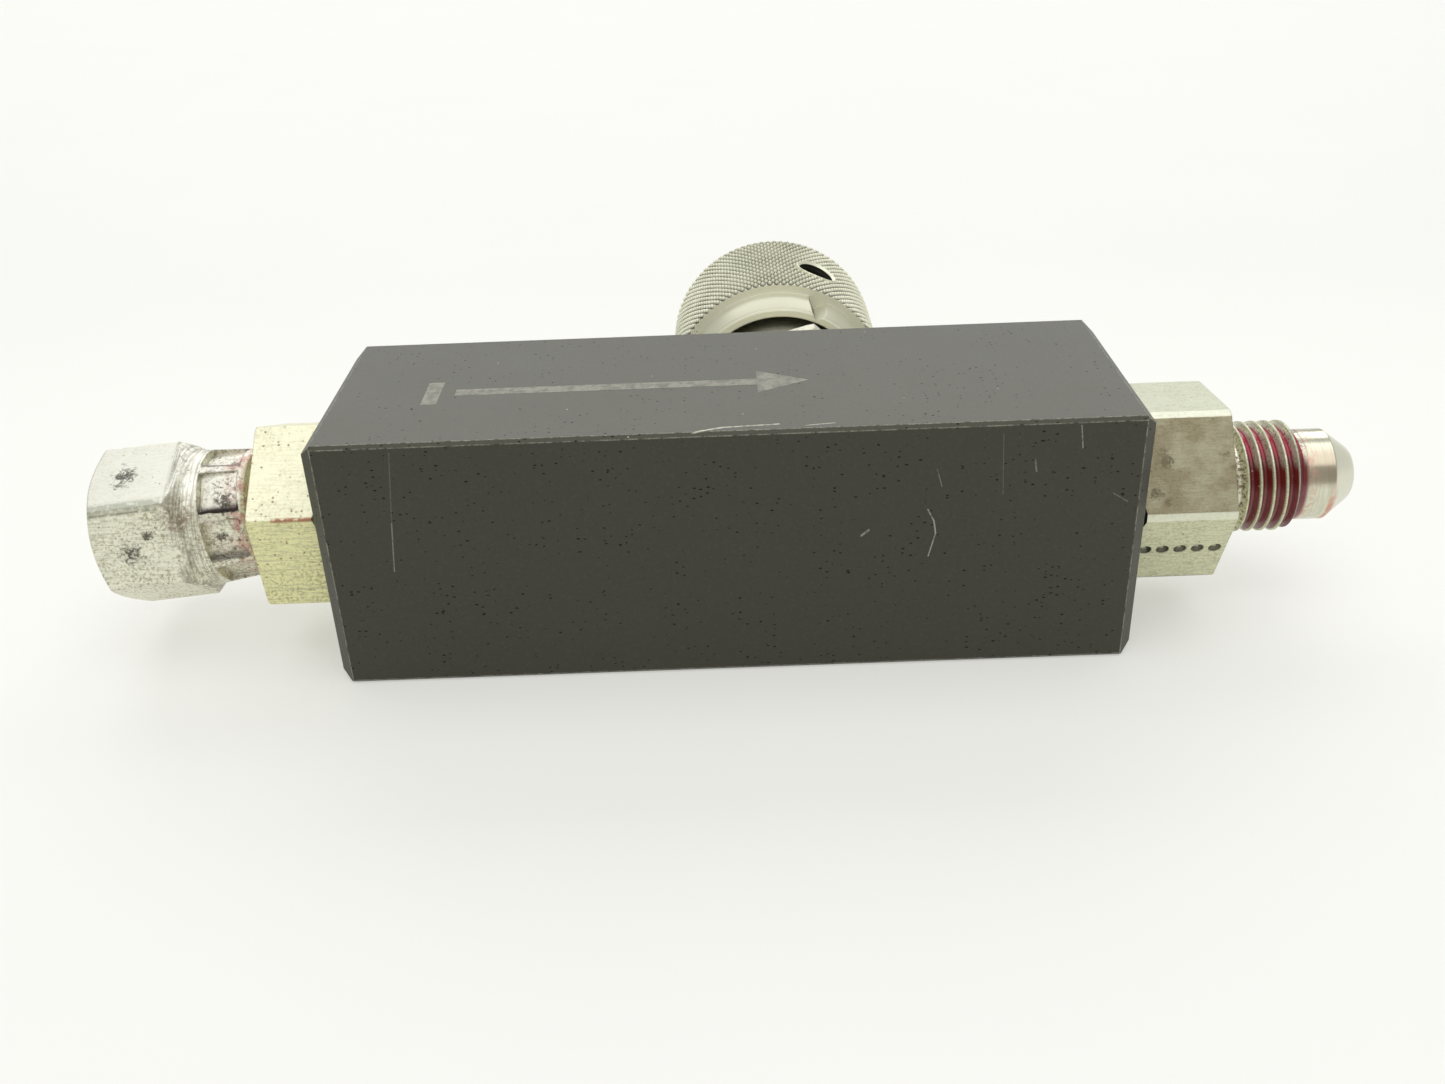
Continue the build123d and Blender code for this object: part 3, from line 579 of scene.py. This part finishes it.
FRONT, TOP = BODY_LOW[1], BODY_HIGH[2]
SCRATCHES = (                       # start, end, width, strength
    ((-30.3, FRONT, 24.6), (-31.1, FRONT, 17.5), 0.07, 0.15),
    ((-31.1, FRONT, 17.5), (-31.6, FRONT, 12.4), 0.09, 0.35),
    ((18.1, FRONT, 16.9), (18.7, FRONT, 15.7), 0.10, 0.6),
    ((18.7, FRONT, 15.7), (18.9, FRONT, 14.4), 0.10, 0.7),
    ((18.9, FRONT, 14.4), (18.3, FRONT, 12.0), 0.09, 0.6),
    ((24.6, FRONT, 24.3), (24.9, FRONT, 18.2), 0.06, 0.15),
    ((18.8, FRONT, 21.0), (19.3, FRONT, 19.2), 0.08, 0.25),
    ((31.5, FRONT, 24.8), (31.8, FRONT, 22.6), 0.08, 0.5),
    ((27.6, FRONT, 21.6), (27.8, FRONT, 20.4), 0.10, 0.35),
    ((12.0, FRONT, 14.4), (12.7, FRONT, 15.0), 0.15, 0.5),
    ((35.0, FRONT, 17.9), (36.4, FRONT, 17.0), 0.07, 0.25),
    ((-3.6, FRONT, TOP), (-2.4, -12.2, TOP), 0.16, 0.9),
    ((-2.4, -12.2, TOP), (-0.4, -11.6, TOP), 0.18, 1.0),
    ((-0.4, -11.6, TOP), (4.6, -11.3, TOP), 0.15, 0.9),
    ((7.0, -11.8, TOP), (9.6, -11.5, TOP), 0.11, 0.7),
)


def black_oxide():
    n = Nodes("black_oxide")
    normal, bend = n.soft_edge(0.16)
    cloud = n.noise(0.12, 3.0)
    fine = n.noise(5.0, 4.0)
    pit_gap, pit_colour = n.cells(2.6, n.stretch(0.6, 1.0, 1.15))
    pit_kind = n.split(pit_colour)[0]
    cluster = n.ramp(n.noise(0.22, 3.0), 0.38, 0.60)
    upward = n.split(n.add("ShaderNodeNewGeometry").outputs["True Normal"])[2]
    pit_size = n.product(n.ramp(pit_kind, 0.15, 1.0), n.blend(cluster, 0.15, 0.30),
                         n.ramp(upward, 0.9, 0.6, 0.75, 1.0))
    pits = n.ramp(n.math("SUBTRACT", pit_size, pit_gap), 0.0, 0.06)
    speck_gap, speck_colour = n.cells(0.8)
    speck_kind = n.split(speck_colour)[1]
    specks = n.product(n.ramp(speck_gap, 0.07, 0.03), n.ramp(speck_kind, 0.90, 0.93))
    chips = n.ramp(n.noise(1.3, 5.0, 0.7), 0.36, 0.60)
    wear = n.product(n.ramp(bend, 0.008, 0.045), chips)
    scratches = n.most(*[n.scratch(*line) for line in SCRATCHES])
    bare = n.most(n.product(wear, 0.85), specks, scratches)
    colour = n.mix(cloud, (0.0125, 0.0125, 0.0105), (0.0185, 0.0182, 0.0150))
    flecks = n.ramp(n.noise(3.2, 4.0, 0.7), 0.50, 0.68)
    colour = n.mix(n.product(flecks, 0.35), colour, (0.040, 0.040, 0.033))
    colour = n.mix(bare, colour, (0.46, 0.45, 0.38))
    rough = n.math("ADD", n.blend(cloud, 0.31, 0.37), n.math("MULTIPLY", fine, 0.10))
    rough = n.math("ADD", rough, n.math("MULTIPLY", pits, 0.40))
    height = n.math("SUBTRACT", n.math("MULTIPLY", fine, 0.2), pits)
    n.set(Base_Color=colour, Roughness=rough, Metallic=n.math("MULTIPLY", bare, 0.5), IOR=1.58,
          Specular_IOR_Level=n.blend(pits, 0.5, 0.12), Specular_Tint=(1.0, 1.0, 0.80),
          Normal=n.bump(height, 0.035, 0.7, normal))
    return n.material


def etched():
    n = Nodes("etched_mark")
    worn = n.ramp(n.noise(1.2, 5.0, 0.65), 0.34, 0.62)
    n.set(Base_Color=n.mix(worn, (0.055, 0.054, 0.044), (0.17, 0.165, 0.13)), Roughness=0.34, IOR=1.58,
          Specular_Tint=(1.0, 1.0, 0.80))
    return n.material


def zinc(name, tint, dark, spots=(), soft=0.14, speckle=0.5, specks=0.5, grain=(0.05, 1.0, 1.0), lines=0.35,
         lit_top_fade=0.0, underside_shade=(0.95, 0.95, 0.80), speck_size=0.26, rough=0.30, diffuse=0.35, extra=None):
    """Zinc-plated steel: grain, fine speckle, dark specks, corroded spots at given places, softened edges;
    speckle and grain fade on faces turned up as painted highlight, and faces turned down get a warmer, darker
    tint as painted shade.
    """
    n = Nodes(name)
    normal, _ = n.soft_edge(soft)
    grain_lines = n.noise(7.0, 4.0, 0.6, n.stretch(*grain))
    cloud = n.noise(0.30, 4.0, 0.6)
    salt = n.noise(3.4, 4.0, 0.7)
    upward = n.split(n.add("ShaderNodeNewGeometry").outputs["True Normal"])[2]
    # painted highlight: speckle and grain lines fade on faces turned up
    shaded = n.ramp(upward, 0.85, 0.30, 1.0 - lit_top_fade, 1.0)
    dull = n.product(n.ramp(salt, 0.46, 0.64), n.blend(n.ramp(cloud, 0.38, 0.62), 0.5, 1.0), shaded, speckle)
    speck_gap, speck_colour = n.cells(2.1)
    speck = n.product(n.ramp(speck_gap, speck_size, speck_size / 2),
                      n.ramp(n.split(speck_colour)[0], 0.95 - 0.3 * specks, 0.985))
    ragged = n.math("MULTIPLY", n.math("SUBTRACT", n.noise(1.3, 5.0, 0.7), 0.5), 3.6)
    stain = n.product(speck, 0.75)
    for centre, radius in spots:
        gap = n.vector("DISTANCE", n.mm, tuple(centre))
        near = n.math("SUBTRACT", n.math("ADD", ragged, 0.9), n.math("DIVIDE", gap, radius))
        stain = n.most(stain, n.product(n.ramp(near, 0.0, 0.7), n.ramp(salt, 0.36, 0.50)))
    colour = n.mix(cloud, tint, tuple(c * 0.86 for c in tint))
    # painted shade: faces turned down get a warmer, darker copy of the tint
    colour = n.mix(n.ramp(upward, 0.85, 0.30), colour, tuple(c * share for c, share in zip(tint, underside_shade)))
    drawn = n.product(n.ramp(grain_lines, 0.46, 0.62), shaded, lines)
    colour = n.mix(drawn, colour, tuple(c * 0.40 for c in tint))
    colour = n.mix(dull, colour, tuple(c * share for c, share in zip(tint, (0.44, 0.39, 0.27))))
    colour = n.mix(n.product(stain, 0.88), colour, dark)
    roughness = n.math("ADD", n.blend(cloud, rough, rough + 0.10), n.math("MULTIPLY", grain_lines, 0.10))
    roughness = n.math("ADD", roughness, n.math("MULTIPLY", n.most(stain, dull), 0.30))
    metallic = n.math("SUBTRACT", 1.0 - diffuse, n.math("MULTIPLY", stain, 0.5), clamp=True)
    height = n.math("SUBTRACT", n.math("MULTIPLY", grain_lines, 0.35), n.most(stain, n.product(dull, 0.5)))
    if extra:
        colour, roughness, metallic, height = extra(n, colour, roughness, metallic, height)
    n.set(Base_Color=colour, Roughness=roughness, Metallic=metallic, Normal=n.bump(height, 0.03, 0.8, normal))
    return n.material


def sealant(n, colour, roughness, metallic, height):
    """A mottled olive-brown on the front facet, red sealant in the thread's roots and a pink smear along the
    nose; painted light and shade: the sealant lighter on top and darker below, highlights on the hexagon's
    corner flats and the thread relief, shade on faces turned up, in the punch marks and at the lead cone, and
    a dark painted reflection band on the nose.
    """
    radius, _ = n.radius_about(FLOW_CENTRE, (1, 0, 0))
    x, y, z = n.split(n.mm)
    high = n.math("SUBTRACT", z, AXIS_Z)
    front_facet_way = (0, -cos(radians(FRONT_FACET)), sin(radians(FRONT_FACET)))
    outward = n.vector("DOT_PRODUCT", n.vector("SUBTRACT", n.mm, FLOW_CENTRE), front_facet_way)
    # the front facet is darkened to a mottled olive-brown
    facet = n.product(n.ramp(outward, OUTLET_APOTHEM - 0.06, OUTLET_APOTHEM - 0.02),
                      n.ramp(x, OUTLET_HEX_END + 0.2, OUTLET_HEX_END))
    patches = n.ramp(n.noise(0.30, 4.0, 0.6), 0.36, 0.60)
    colour = n.mix(n.product(facet, n.blend(patches, 0.62, 0.85)), colour, (0.25, 0.205, 0.120))
    facing = n.add("ShaderNodeNewGeometry").outputs["True Normal"]
    facing_x, _, facing_z = n.split(facing)
    # painted highlight: lighter, patchy colour on the hexagon's corner flats
    corner_highlight = n.most(*[
        n.ramp(n.vector("DOT_PRODUCT", facing, (0, -cos(radians(turn)), sin(radians(turn)))), 0.985, 0.995)
        for turn in (5, 65)
    ])
    corner_highlight = n.product(corner_highlight, n.ramp(x, OUTLET_HEX_END + 0.2, OUTLET_HEX_END),
                            n.ramp(n.noise(1.1, 4.0, 0.65), 0.30, 0.46, 0.55, 1.0))
    colour = n.mix(n.product(corner_highlight, 0.7), colour, (0.80, 0.81, 0.68))
    # painted shade: faces turned straight up are darkened to olive-grey
    colour = n.mix(n.product(n.ramp(facing_z, 0.93, 0.98), 0.35), colour, (0.42, 0.45, 0.34))
    punched_way = (0, -cos(radians(PUNCHED_FACET)), sin(radians(PUNCHED_FACET)))
    depth = n.vector("DOT_PRODUCT", n.vector("SUBTRACT", n.mm, FLOW_CENTRE), punched_way)
    below = n.product(n.ramp(n.vector("DOT_PRODUCT", facing, punched_way), 0.995, 0.97),
                      n.ramp(x, OUTLET_HEX_END, OUTLET_HEX_END - 0.4),
                      n.ramp(x, 39.2, 39.4), n.ramp(depth, OUTLET_APOTHEM - 0.7, OUTLET_APOTHEM - 0.6))
    # painted shade: the inside of each punch mark is painted near black
    punch_shade = n.product(below, n.ramp(depth, OUTLET_APOTHEM, OUTLET_APOTHEM - 0.12), n.ramp(high, -2.0, -2.4))
    colour = n.mix(n.product(punch_shade, 0.85), colour, (0.05, 0.045, 0.035))
    # painted shade: the lead cone in the gap against the body is painted near black
    lead_cone = n.ramp(facing_x, -0.3, -0.4)
    crevice_shade = n.product(lead_cone, n.ramp(x, 40.0, 39.6))
    colour = n.mix(crevice_shade, colour, (0.012, 0.012, 0.022))

    turn = n.math("ADD", n.math("ARCTAN2", n.math("SUBTRACT", AXIS_Z, z), n.math("SUBTRACT", 0.0, y)), pi)
    wound = n.math("MULTIPLY", turn, THREAD_PITCH / (2 * pi))
    lead = n.math("SUBTRACT", n.math("SUBTRACT", x, GROOVE_AT), wound)
    phase = n.math("FRACT", n.math("ADD", n.math("DIVIDE", lead, THREAD_PITCH), 20.5))
    threads = n.product(n.ramp(lead, 0.50, 0.62), n.ramp(x, 56.9, 56.4))
    deep = n.ramp(radius, THREAD_R - 0.08, THREAD_R - 0.22)
    patchy = n.ramp(n.noise(1.3, 4.0, 0.65), 0.24, 0.36)
    red = n.product(threads, deep, patchy)
    maroon = n.mix(n.noise(2.5, 3.0), (0.190, 0.018, 0.016), (0.085, 0.012, 0.010))
    dusky = n.mix(n.noise(2.5, 3.0), (0.270, 0.075, 0.075), (0.160, 0.045, 0.045))
    crimson = n.mix(n.noise(3.0, 4.0), (0.48, 0.014, 0.050), (0.22, 0.010, 0.036))
    olive = n.mix(n.ramp(n.noise(4.5, 4.0, 0.7), 0.54, 0.62), (0.62, 0.60, 0.47), (0.07, 0.045, 0.03))
    # painted light and shade over the sealant's own red: crimson on top, maroon in the middle, a lighter
    # dusky red at the bottom
    shaded_paste = n.mix(n.ramp(high, 0.2, 1.6), dusky, n.mix(n.ramp(high, 3.0, 4.2), maroon, crimson))
    bare_flank = n.product(n.ramp(phase, 0.62, 0.74), n.ramp(high, 2.6, 4.0))
    shaded_paste = n.mix(bare_flank, shaded_paste, olive)
    shaded_paste = n.mix(n.ramp(phase, 0.28, 0.20, 0.0, 0.75), shaded_paste, (0.085, 0.025, 0.13))
    smear = n.product(n.ramp(x, 56.0, 56.6), n.ramp(x, 58.2, 57.0),
                      n.ramp(n.noise(1.3, 4.0), 0.44, 0.62), 0.5)
    lip = n.product(n.ramp(x, 58.8, 59.1), n.ramp(x, 60.0, 59.4), n.ramp(high, 1.5, -1.5),
                    n.ramp(n.noise(0.9, 4.0), 0.32, 0.50), 0.85)
    relief = n.product(n.ramp(x, OUTLET_HEX_END + 0.06, OUTLET_HEX_END + 0.1), n.ramp(lead, 0.62, 0.40))
    rusty = n.product(relief, n.ramp(n.noise(2.6, 4.0, 0.7), 0.48, 0.58), 0.85)
    nose = n.product(n.ramp(x, 56.2, 56.6), n.math("SUBTRACT", 1.0, n.most(smear, lip)))
    turned = n.noise(5.0, 3.0, vector=n.vector("MULTIPLY", n.mm, (1.0, 0.05, 0.05)))
    bright = n.mix(n.ramp(turned, 0.40, 0.60), (0.60, 0.60, 0.48), (0.70, 0.69, 0.57))
    colour = n.mix(n.product(nose, 0.9), colour, bright)
    # painted reflection: the nose is darker where it faces the front
    colour = n.mix(n.product(nose, n.ramp(outward, 3.9, 4.5), 0.65), colour, (0.42, 0.33, 0.24))
    colour = n.mix(n.product(nose, n.ramp(x, CONE_FROM, CONE_TO), 0.8), colour, (0.78, 0.78, 0.66))
    colour = n.mix(n.most(smear, lip), colour, (0.62, 0.30, 0.24))
    # painted highlight: the thread relief is painted light against its shade
    colour = n.mix(n.product(relief, 0.85), colour, (0.84, 0.82, 0.70))
    colour = n.mix(rusty, colour, (0.16, 0.085, 0.045))
    colour = n.mix(red, colour, shaded_paste)
    cone = n.product(n.ramp(x, CONE_FROM, CONE_TO), nose)
    roughness = n.blend(nose, roughness, n.blend(cone, 0.22, 0.32))
    metallic = n.blend(nose, metallic, n.blend(cone, 1.0, 0.45))
    roughness = n.blend(red, roughness, 0.20)
    height = n.product(height, n.math("SUBTRACT", 1.0, n.most(nose, red)))
    painted = n.product(red, n.math("SUBTRACT", 1.0, n.product(bare_flank, 0.7)))
    metallic = n.product(metallic, n.math("SUBTRACT", 1.0, n.most(painted, n.product(rusty, 0.7), crevice_shade)))
    return colour, roughness, metallic, height


def copper_edge(n, colour, roughness, metallic, height):
    """A worn, coppery stretch of the corner nearest the front."""
    corner = [round_flow(x, INLET_CORNER_R, INLET_CORNER_TURN) for x in (-43.2, -38.6)]
    worn = n.scratch(*corner, 0.36, 1.0)
    colour = n.mix(worn, colour, (0.42, 0.20, 0.11))
    return colour, roughness, n.math("SUBTRACT", metallic, n.math("MULTIPLY", worn, 0.3)), height


def crimp_rust_and_shading(n, colour, roughness, metallic, height):
    """Brown and red residue round the crimped neck, none on the hexagon; painted shade low in each dent and
    on the cone between hexagon and neck, and painted shading along the hexagon's corner nearest the front.
    """
    _, along = n.radius_about(NUT_PIVOT, NUT_WAY)
    neck = n.product(n.ramp(along, 4.6, 3.4), n.ramp(along, -3.5, -2.2))
    crimps = n.ramp(along, 2.6, 1.6)
    rust = n.ramp(n.noise(2.4, 5.0, 0.72, distortion=0.4), 0.50, 0.64)
    low = n.ramp(n.noise(0.5, 3.0), 0.40, 0.60)
    # painted shade: a patchy dark band on the cone between hexagon and neck, joined with the real residue
    groove = n.product(n.ramp(along, 5.2, 4.6), n.ramp(along, 3.0, 3.8),
                       n.ramp(n.noise(1.6, 4.0, 0.65), 0.46, 0.62))
    residue_and_cone_shade = n.most(n.product(neck, crimps, rust, n.blend(low, 0.45, 1.0)), n.product(groove, 0.4))
    back = n.ramp(along, 0.2, -1.6)
    pink = n.product(neck, crimps, n.ramp(n.noise(0.7, 5.0, 0.65), 0.36, 0.66), n.blend(back, 0.15, 0.85))
    turned = n.product(neck, n.noise(9.0, 2.0, vector=n.vector("MULTIPLY", n.mm, (1.0, 0.06, 0.06))))

    def corner_line(up, width, strength):
        ends = [round_nut(station, NUT_CORNER_R, NUT_CORNER_TURN, up) for station in (-12.3, -5.6)]
        return n.scratch(*ends, width, strength)

    # painted shading of the rounded corner nearest the front: a greenish-grey band, a painted shadow line
    # below it and a painted highlight line above
    band = corner_line(0.1, 0.95, 1.0)
    shadow_line = corner_line(-0.55, 0.24, 0.85)
    highlight_line = corner_line(0.75, 0.28, 1.0)
    # painted shade: the low part of each crimped dent is painted near black
    dent_shade = 0.0
    for turn, strength in ((48, 1.0), (3, 0.55), (93, 0.6)):
        out = Vector(round_nut(0, 1, turn)) - NUT_PIVOT
        up = Vector(round_nut(0, 0, turn, 1)) - NUT_PIVOT
        offset = n.vector("SUBTRACT", n.mm, tuple(NUT_PIVOT))
        wander = n.math("MULTIPLY", n.noise(1.4, 4.0), 0.5)
        height_up = n.math("ADD", n.vector("DOT_PRODUCT", offset, tuple(up)), wander)
        facing_dent = n.ramp(n.vector("DOT_PRODUCT", offset, tuple(out)), 5.2, 5.5)
        shade = n.product(facing_dent, n.ramp(height_up, -0.75, -1.65),
                          n.ramp(height_up, -2.1, -1.95), strength)
        dent_shade = n.most(dent_shade, shade)
    dent_shade = n.product(dent_shade, n.ramp(along, 2.2, 2.0), n.ramp(along, -1.9, -1.7))
    colour = n.mix(n.product(band, 0.7), colour, (0.40, 0.42, 0.33))
    colour = n.mix(highlight_line, colour, (0.97, 0.97, 0.92))
    colour = n.mix(shadow_line, colour, (0.10, 0.09, 0.06))
    shoulder = n.product(n.ramp(along, 5.2, 4.6), n.ramp(along, 1.6, 2.2))
    ring_noise = n.noise(6.0, 2.0, vector=n.vector("MULTIPLY", n.mm, (1.0, 0.05, 0.05)))
    rings = n.product(shoulder, n.ramp(ring_noise, 0.46, 0.56))
    colour = n.mix(n.product(rings, 0.55), colour, (0.34, 0.32, 0.26))
    smudge = n.ramp(n.vector("DISTANCE", n.mm, round_nut(-4.0, 7.2, 30)), 2.6, 0.8)
    smudge = n.product(smudge, n.ramp(n.noise(2.2, 4.0, 0.7), 0.40, 0.62), 0.7)
    colour = n.mix(smudge, colour, (0.24, 0.15, 0.10))
    colour = n.mix(pink, colour, (0.56, 0.27, 0.22))
    colour = n.mix(n.product(residue_and_cone_shade, 0.85), colour, (0.095, 0.055, 0.032))
    colour = n.mix(dent_shade, colour, (0.022, 0.013, 0.010))
    roughness = n.blend(residue_and_cone_shade, roughness, 0.75)
    dulled = n.math("MULTIPLY", n.most(residue_and_cone_shade, pink), 0.8)
    metallic = n.math("MULTIPLY", metallic, n.math("SUBTRACT", 1.0, dulled))
    raised = n.math("ADD", height, n.math("MULTIPLY", turned, 0.9))
    height = n.math("SUBTRACT", raised, n.math("MULTIPLY", residue_and_cone_shade, 0.4))
    return colour, roughness, metallic, height


def satin_knob():
    n = Nodes("satin_knob")
    normal, _ = n.soft_edge(0.05)
    radius, along = n.radius_about(KNOB_CENTRE, (0, 1, 0))
    outside = n.ramp(along, KNURL_START + 0.02, KNURL_START + 0.08)
    # darker, rougher and less metallic deep in the knurl's grooves
    knurl_groove_dark = n.product(outside, n.ramp(radius, KNOB_R - 0.08, KNOB_R - 0.32),
                     n.ramp(radius, KNOB_R - 0.9, KNOB_R - 0.6))
    screw_gap = n.vector("DISTANCE", n.mm, along_screw(KNOB_R - 0.2, 0, SCREW_Y))
    knurl_groove_dark = n.product(knurl_groove_dark, n.ramp(screw_gap, 2.6, 2.75))
    # painted shade: inside the skirt's bore and the set screw's hole is painted near black
    inside = n.product(n.ramp(radius, 10.0, 9.92), n.ramp(along, 32.0, 25.0, 0.75, 0.0),
                       n.ramp(along, 44.6, 44.2))
    screw_radius, screw_along = n.radius_about((KNOB_X, SCREW_Y, AXIS_Z), (cos(KNOB_TURN), 0, sin(KNOB_TURN)))
    inside = n.most(inside, n.product(n.ramp(screw_radius, 2.17, 2.13), n.ramp(screw_along, 0.0, 1.0)))
    facing = n.add("ShaderNodeNewGeometry").outputs["True Normal"]
    patch = n.ramp(n.noise(0.28, 4.0), 0.35, 0.70)
    turning = n.noise(14.0, 2.0, vector=n.stretch(0.05, 1.0, 0.05))
    speck_gap, speck_colour = n.cells(1.3)
    speck = n.product(n.ramp(speck_gap, 0.12, 0.05), n.ramp(n.split(speck_colour)[0], 0.86, 0.90))
    colour = n.mix(patch, (0.80, 0.80, 0.64), (0.72, 0.72, 0.56))
    colour = n.mix(n.ramp(along, KNURL_START, KNURL_START - 0.05), colour, (0.59, 0.59, 0.46))
    # painted highlight: faces turned toward the front are painted near white
    colour = n.mix(n.ramp(n.split(facing)[1], -0.6, -0.8), colour, (0.98, 0.97, 0.80))
    # painted shade: one side of the index notch is painted dark
    corner_gap, _ = n.radius_about(along_screw(NOTCH_R, 0, 0), (0, 1, 0))
    wall_way = (cos(KNOB_TURN - pi / 4), 0, sin(KNOB_TURN - pi / 4))
    notch_wall_shade = n.product(n.ramp(n.vector("DOT_PRODUCT", facing, wall_way), 0.96, 0.99),
                     n.ramp(corner_gap, 1.5, 1.3), n.ramp(along, KNURL_START, KNURL_START - 0.05))
    colour = n.mix(n.product(notch_wall_shade, 0.85), colour, (0.10, 0.085, 0.055))
    colour = n.mix(n.product(knurl_groove_dark, n.blend(patch, 0.75, 1.0)), colour, (0.055, 0.052, 0.040))
    colour = n.mix(inside, colour, (0.03, 0.032, 0.022))
    colour = n.mix(n.product(speck, 0.8), colour, (0.06, 0.05, 0.04))
    rough = n.math("ADD", n.blend(patch, 0.36, 0.44), n.math("MULTIPLY", knurl_groove_dark, 0.2))
    n.set(Base_Color=colour, Roughness=rough,
          Metallic=n.math("SUBTRACT", 0.35, n.math("MULTIPLY", knurl_groove_dark, 0.2)),
          Normal=n.bump(turning, 0.008, 0.5, normal))
    return n.material


def plain_steel(name, tint, rough):
    n = Nodes(name)
    normal, _ = n.soft_edge(0.08)
    lines = n.noise(12.0, 3.0, vector=n.stretch(0.3, 1.0, 0.3))
    cloud = n.noise(0.5, 4.0)
    n.set(Base_Color=n.mix(cloud, tint, tuple(c * 0.8 for c in tint)), Metallic=1.0,
          Roughness=n.blend(cloud, rough, rough + 0.12), Normal=n.bump(lines, 0.006, 0.5, normal))
    return n.material


def moulded(name, tint, rough):
    n = Nodes(name)
    cloud = n.noise(0.8, 4.0)
    n.set(Base_Color=n.mix(cloud, tint, tuple(c * 0.7 for c in tint)),
          Roughness=n.blend(cloud, rough, rough + 0.15), Normal=n.bump(n.noise(8.0, 3.0), 0.01, 0.5))
    return n.material


def dress(piece, material):
    if piece.data.materials:
        for slot in piece.material_slots:
            slot.material = material
    else:
        piece.data.materials.append(material)


DARK_STAIN = (0.05, 0.042, 0.032)
NUT_SPOTS = (                       # place, radius
    (round_nut(-9.6, NUT_APOTHEM, 68.5), 1.8), (round_nut(-9.1, NUT_APOTHEM, 8.5, -0.6), 1.5),
    (round_nut(-7.2, NUT_APOTHEM, 8.5, 1.0), 0.7), (round_nut(0.2, NUT_DENT_R, 38), 1.3),
    (round_nut(-0.6, NUT_DENT_R, 4), 0.8), (round_nut(0.9, NUT_DENT_R, 82), 0.8),
    (round_nut(0.4, NUT_DENT_R, -10), 0.6),
)
OUTLET_SPOTS = [
    (round_flow(x, OUTLET_APOTHEM, FRONT_FACET, up), radius) for x, up, radius in (
        (41.6, 0.5, 1.1), (40.0, 1.35, 0.5), (40.5, -2.6, 0.8),
        (41.4, -3.6, 0.7), (47.2, 0.9, 0.4), (47.9, -0.4, 0.3),
    )
]
silver = zinc("zinc_nut", (0.96, 0.96, 0.87), DARK_STAIN, NUT_SPOTS, soft=0.3, speckle=0.9, specks=0.3,
              lit_top_fade=0.75, underside_shade=(0.91, 0.91, 0.83), diffuse=0.3, extra=crimp_rust_and_shading)
chromate = zinc("zinc_chromate", (0.88, 0.87, 0.66), (0.27, 0.12, 0.065), speckle=0.65, specks=0.8,
                grain=(0.06, 1.0, 1.0), lines=0.40, lit_top_fade=0.6, underside_shade=(0.94, 0.94, 0.70), speck_size=0.32,
                rough=0.32, diffuse=0.4, extra=copper_edge)
outlet_zinc = zinc("zinc_outlet", (0.72, 0.735, 0.60), DARK_STAIN, OUTLET_SPOTS, speckle=0.5, specks=0.1,
                   grain=(0.10, 1.0, 1.0), rough=0.27, diffuse=0.2, extra=sealant)
rubber = moulded("nitrile", (0.012, 0.012, 0.014), 0.45)
steel = plain_steel("turned_steel", (0.62, 0.61, 0.57), 0.28)

dress(NODES["valve_body"], black_oxide())
dress(mark, etched())
satin = satin_knob()
dress(knob, satin)
dress(rim, satin)
dress(outlet, outlet_zinc)
dress(NODES["inlet_swivel_nut"], silver)
dress(nut_thread, silver)
dress(NODES["inlet_adapter"], chromate)
dress(NODES["bonnet"], zinc("zinc_bonnet", (0.72, 0.71, 0.60), DARK_STAIN, speckle=0.3, specks=0.2))
dress(NODES["knob_set_screw"], plain_steel("black_steel", (0.10, 0.10, 0.10), 0.35))
dress(NODES["stem_backup_ring"], moulded("ptfe", (0.80, 0.80, 0.77), 0.4))
for node in ("inlet_port_oring", "outlet_port_oring", "bonnet_oring", "stem_oring"):
    dress(NODES[node], rubber)
for node in ("needle_seat", "needle", "stem", "check_retainer"):
    dress(NODES[node], steel)
dress(spring, steel)
dress(NODES["check_ball"], plain_steel("bright_steel", (0.75, 0.75, 0.75), 0.08))

# ---------------------------------------------------------------- floor
FLOOR_HALF = 2000.0
floor = new_object("floor", [
    (-FLOOR_HALF, -FLOOR_HALF, 0), (FLOOR_HALF, -FLOOR_HALF, 0),
    (FLOOR_HALF, FLOOR_HALF, 0), (-FLOOR_HALF, FLOOR_HALF, 0),
], [(0, 1, 2, 3)])
table = Nodes("white_table")
glow = table.ramp(table.split(table.mm)[1], 20.0, 120.0, 0.41, 0.355)     # less behind the valve
table.set(Base_Color=table.mix(table.noise(0.03, 4.0), (0.46, 0.46, 0.46), (0.48, 0.48, 0.48)), Roughness=0.6,
          Emission_Color=(1.0, 1.0, 0.94), Emission_Strength=glow)
dress(floor, table.material)


# ---------------------------------------------------------------- light and camera
def softbox(name, place, width, height, radiance):
    """A square-on panel aimed at the valve, as bright as the radiance says."""
    light = bpy.data.lights.new(name, "AREA")
    light.shape = "RECTANGLE"
    light.size, light.size_y = width, height
    light.energy = radiance * width * height * pi
    lamp = bpy.data.objects.new(name, light)
    lamp.location = place
    lamp.rotation_euler = (-Vector(place)).to_track_quat("-Z", "Y").to_euler()
    bpy.context.scene.collection.objects.link(lamp)


softbox("back_panel", (0.0, 2.9, 2.15), 4.0, 1.9, 2.1)
softbox("overhead", (0.0, -0.5, 2.6), 3.4, 3.4, 1.3)

world = bpy.data.worlds.new("room")
bpy.context.scene.world = world
world.use_nodes = True
world.node_tree.nodes["Background"].inputs["Color"].default_value = (1.0, 0.995, 0.93, 1.0)
world.node_tree.nodes["Background"].inputs["Strength"].default_value = 0.52

CAMERA_PLACE = (-0.174, -124.994, 76.352)
CAMERA_TURN = (1.0656, 0.0345, -0.0131)
SENSOR, LENS = 36.0, 34.48
camera_data = bpy.data.cameras.new("camera")
camera_data.sensor_width, camera_data.lens = SENSOR, LENS
camera_data.clip_start, camera_data.clip_end = 0.005, 20.0
camera = bpy.data.objects.new("camera", camera_data)
camera.location = Vector(CAMERA_PLACE) * MM
camera.rotation_euler = CAMERA_TURN
bpy.context.scene.collection.objects.link(camera)
bpy.context.scene.camera = camera
bpy.context.scene.view_settings.view_transform = "Standard"
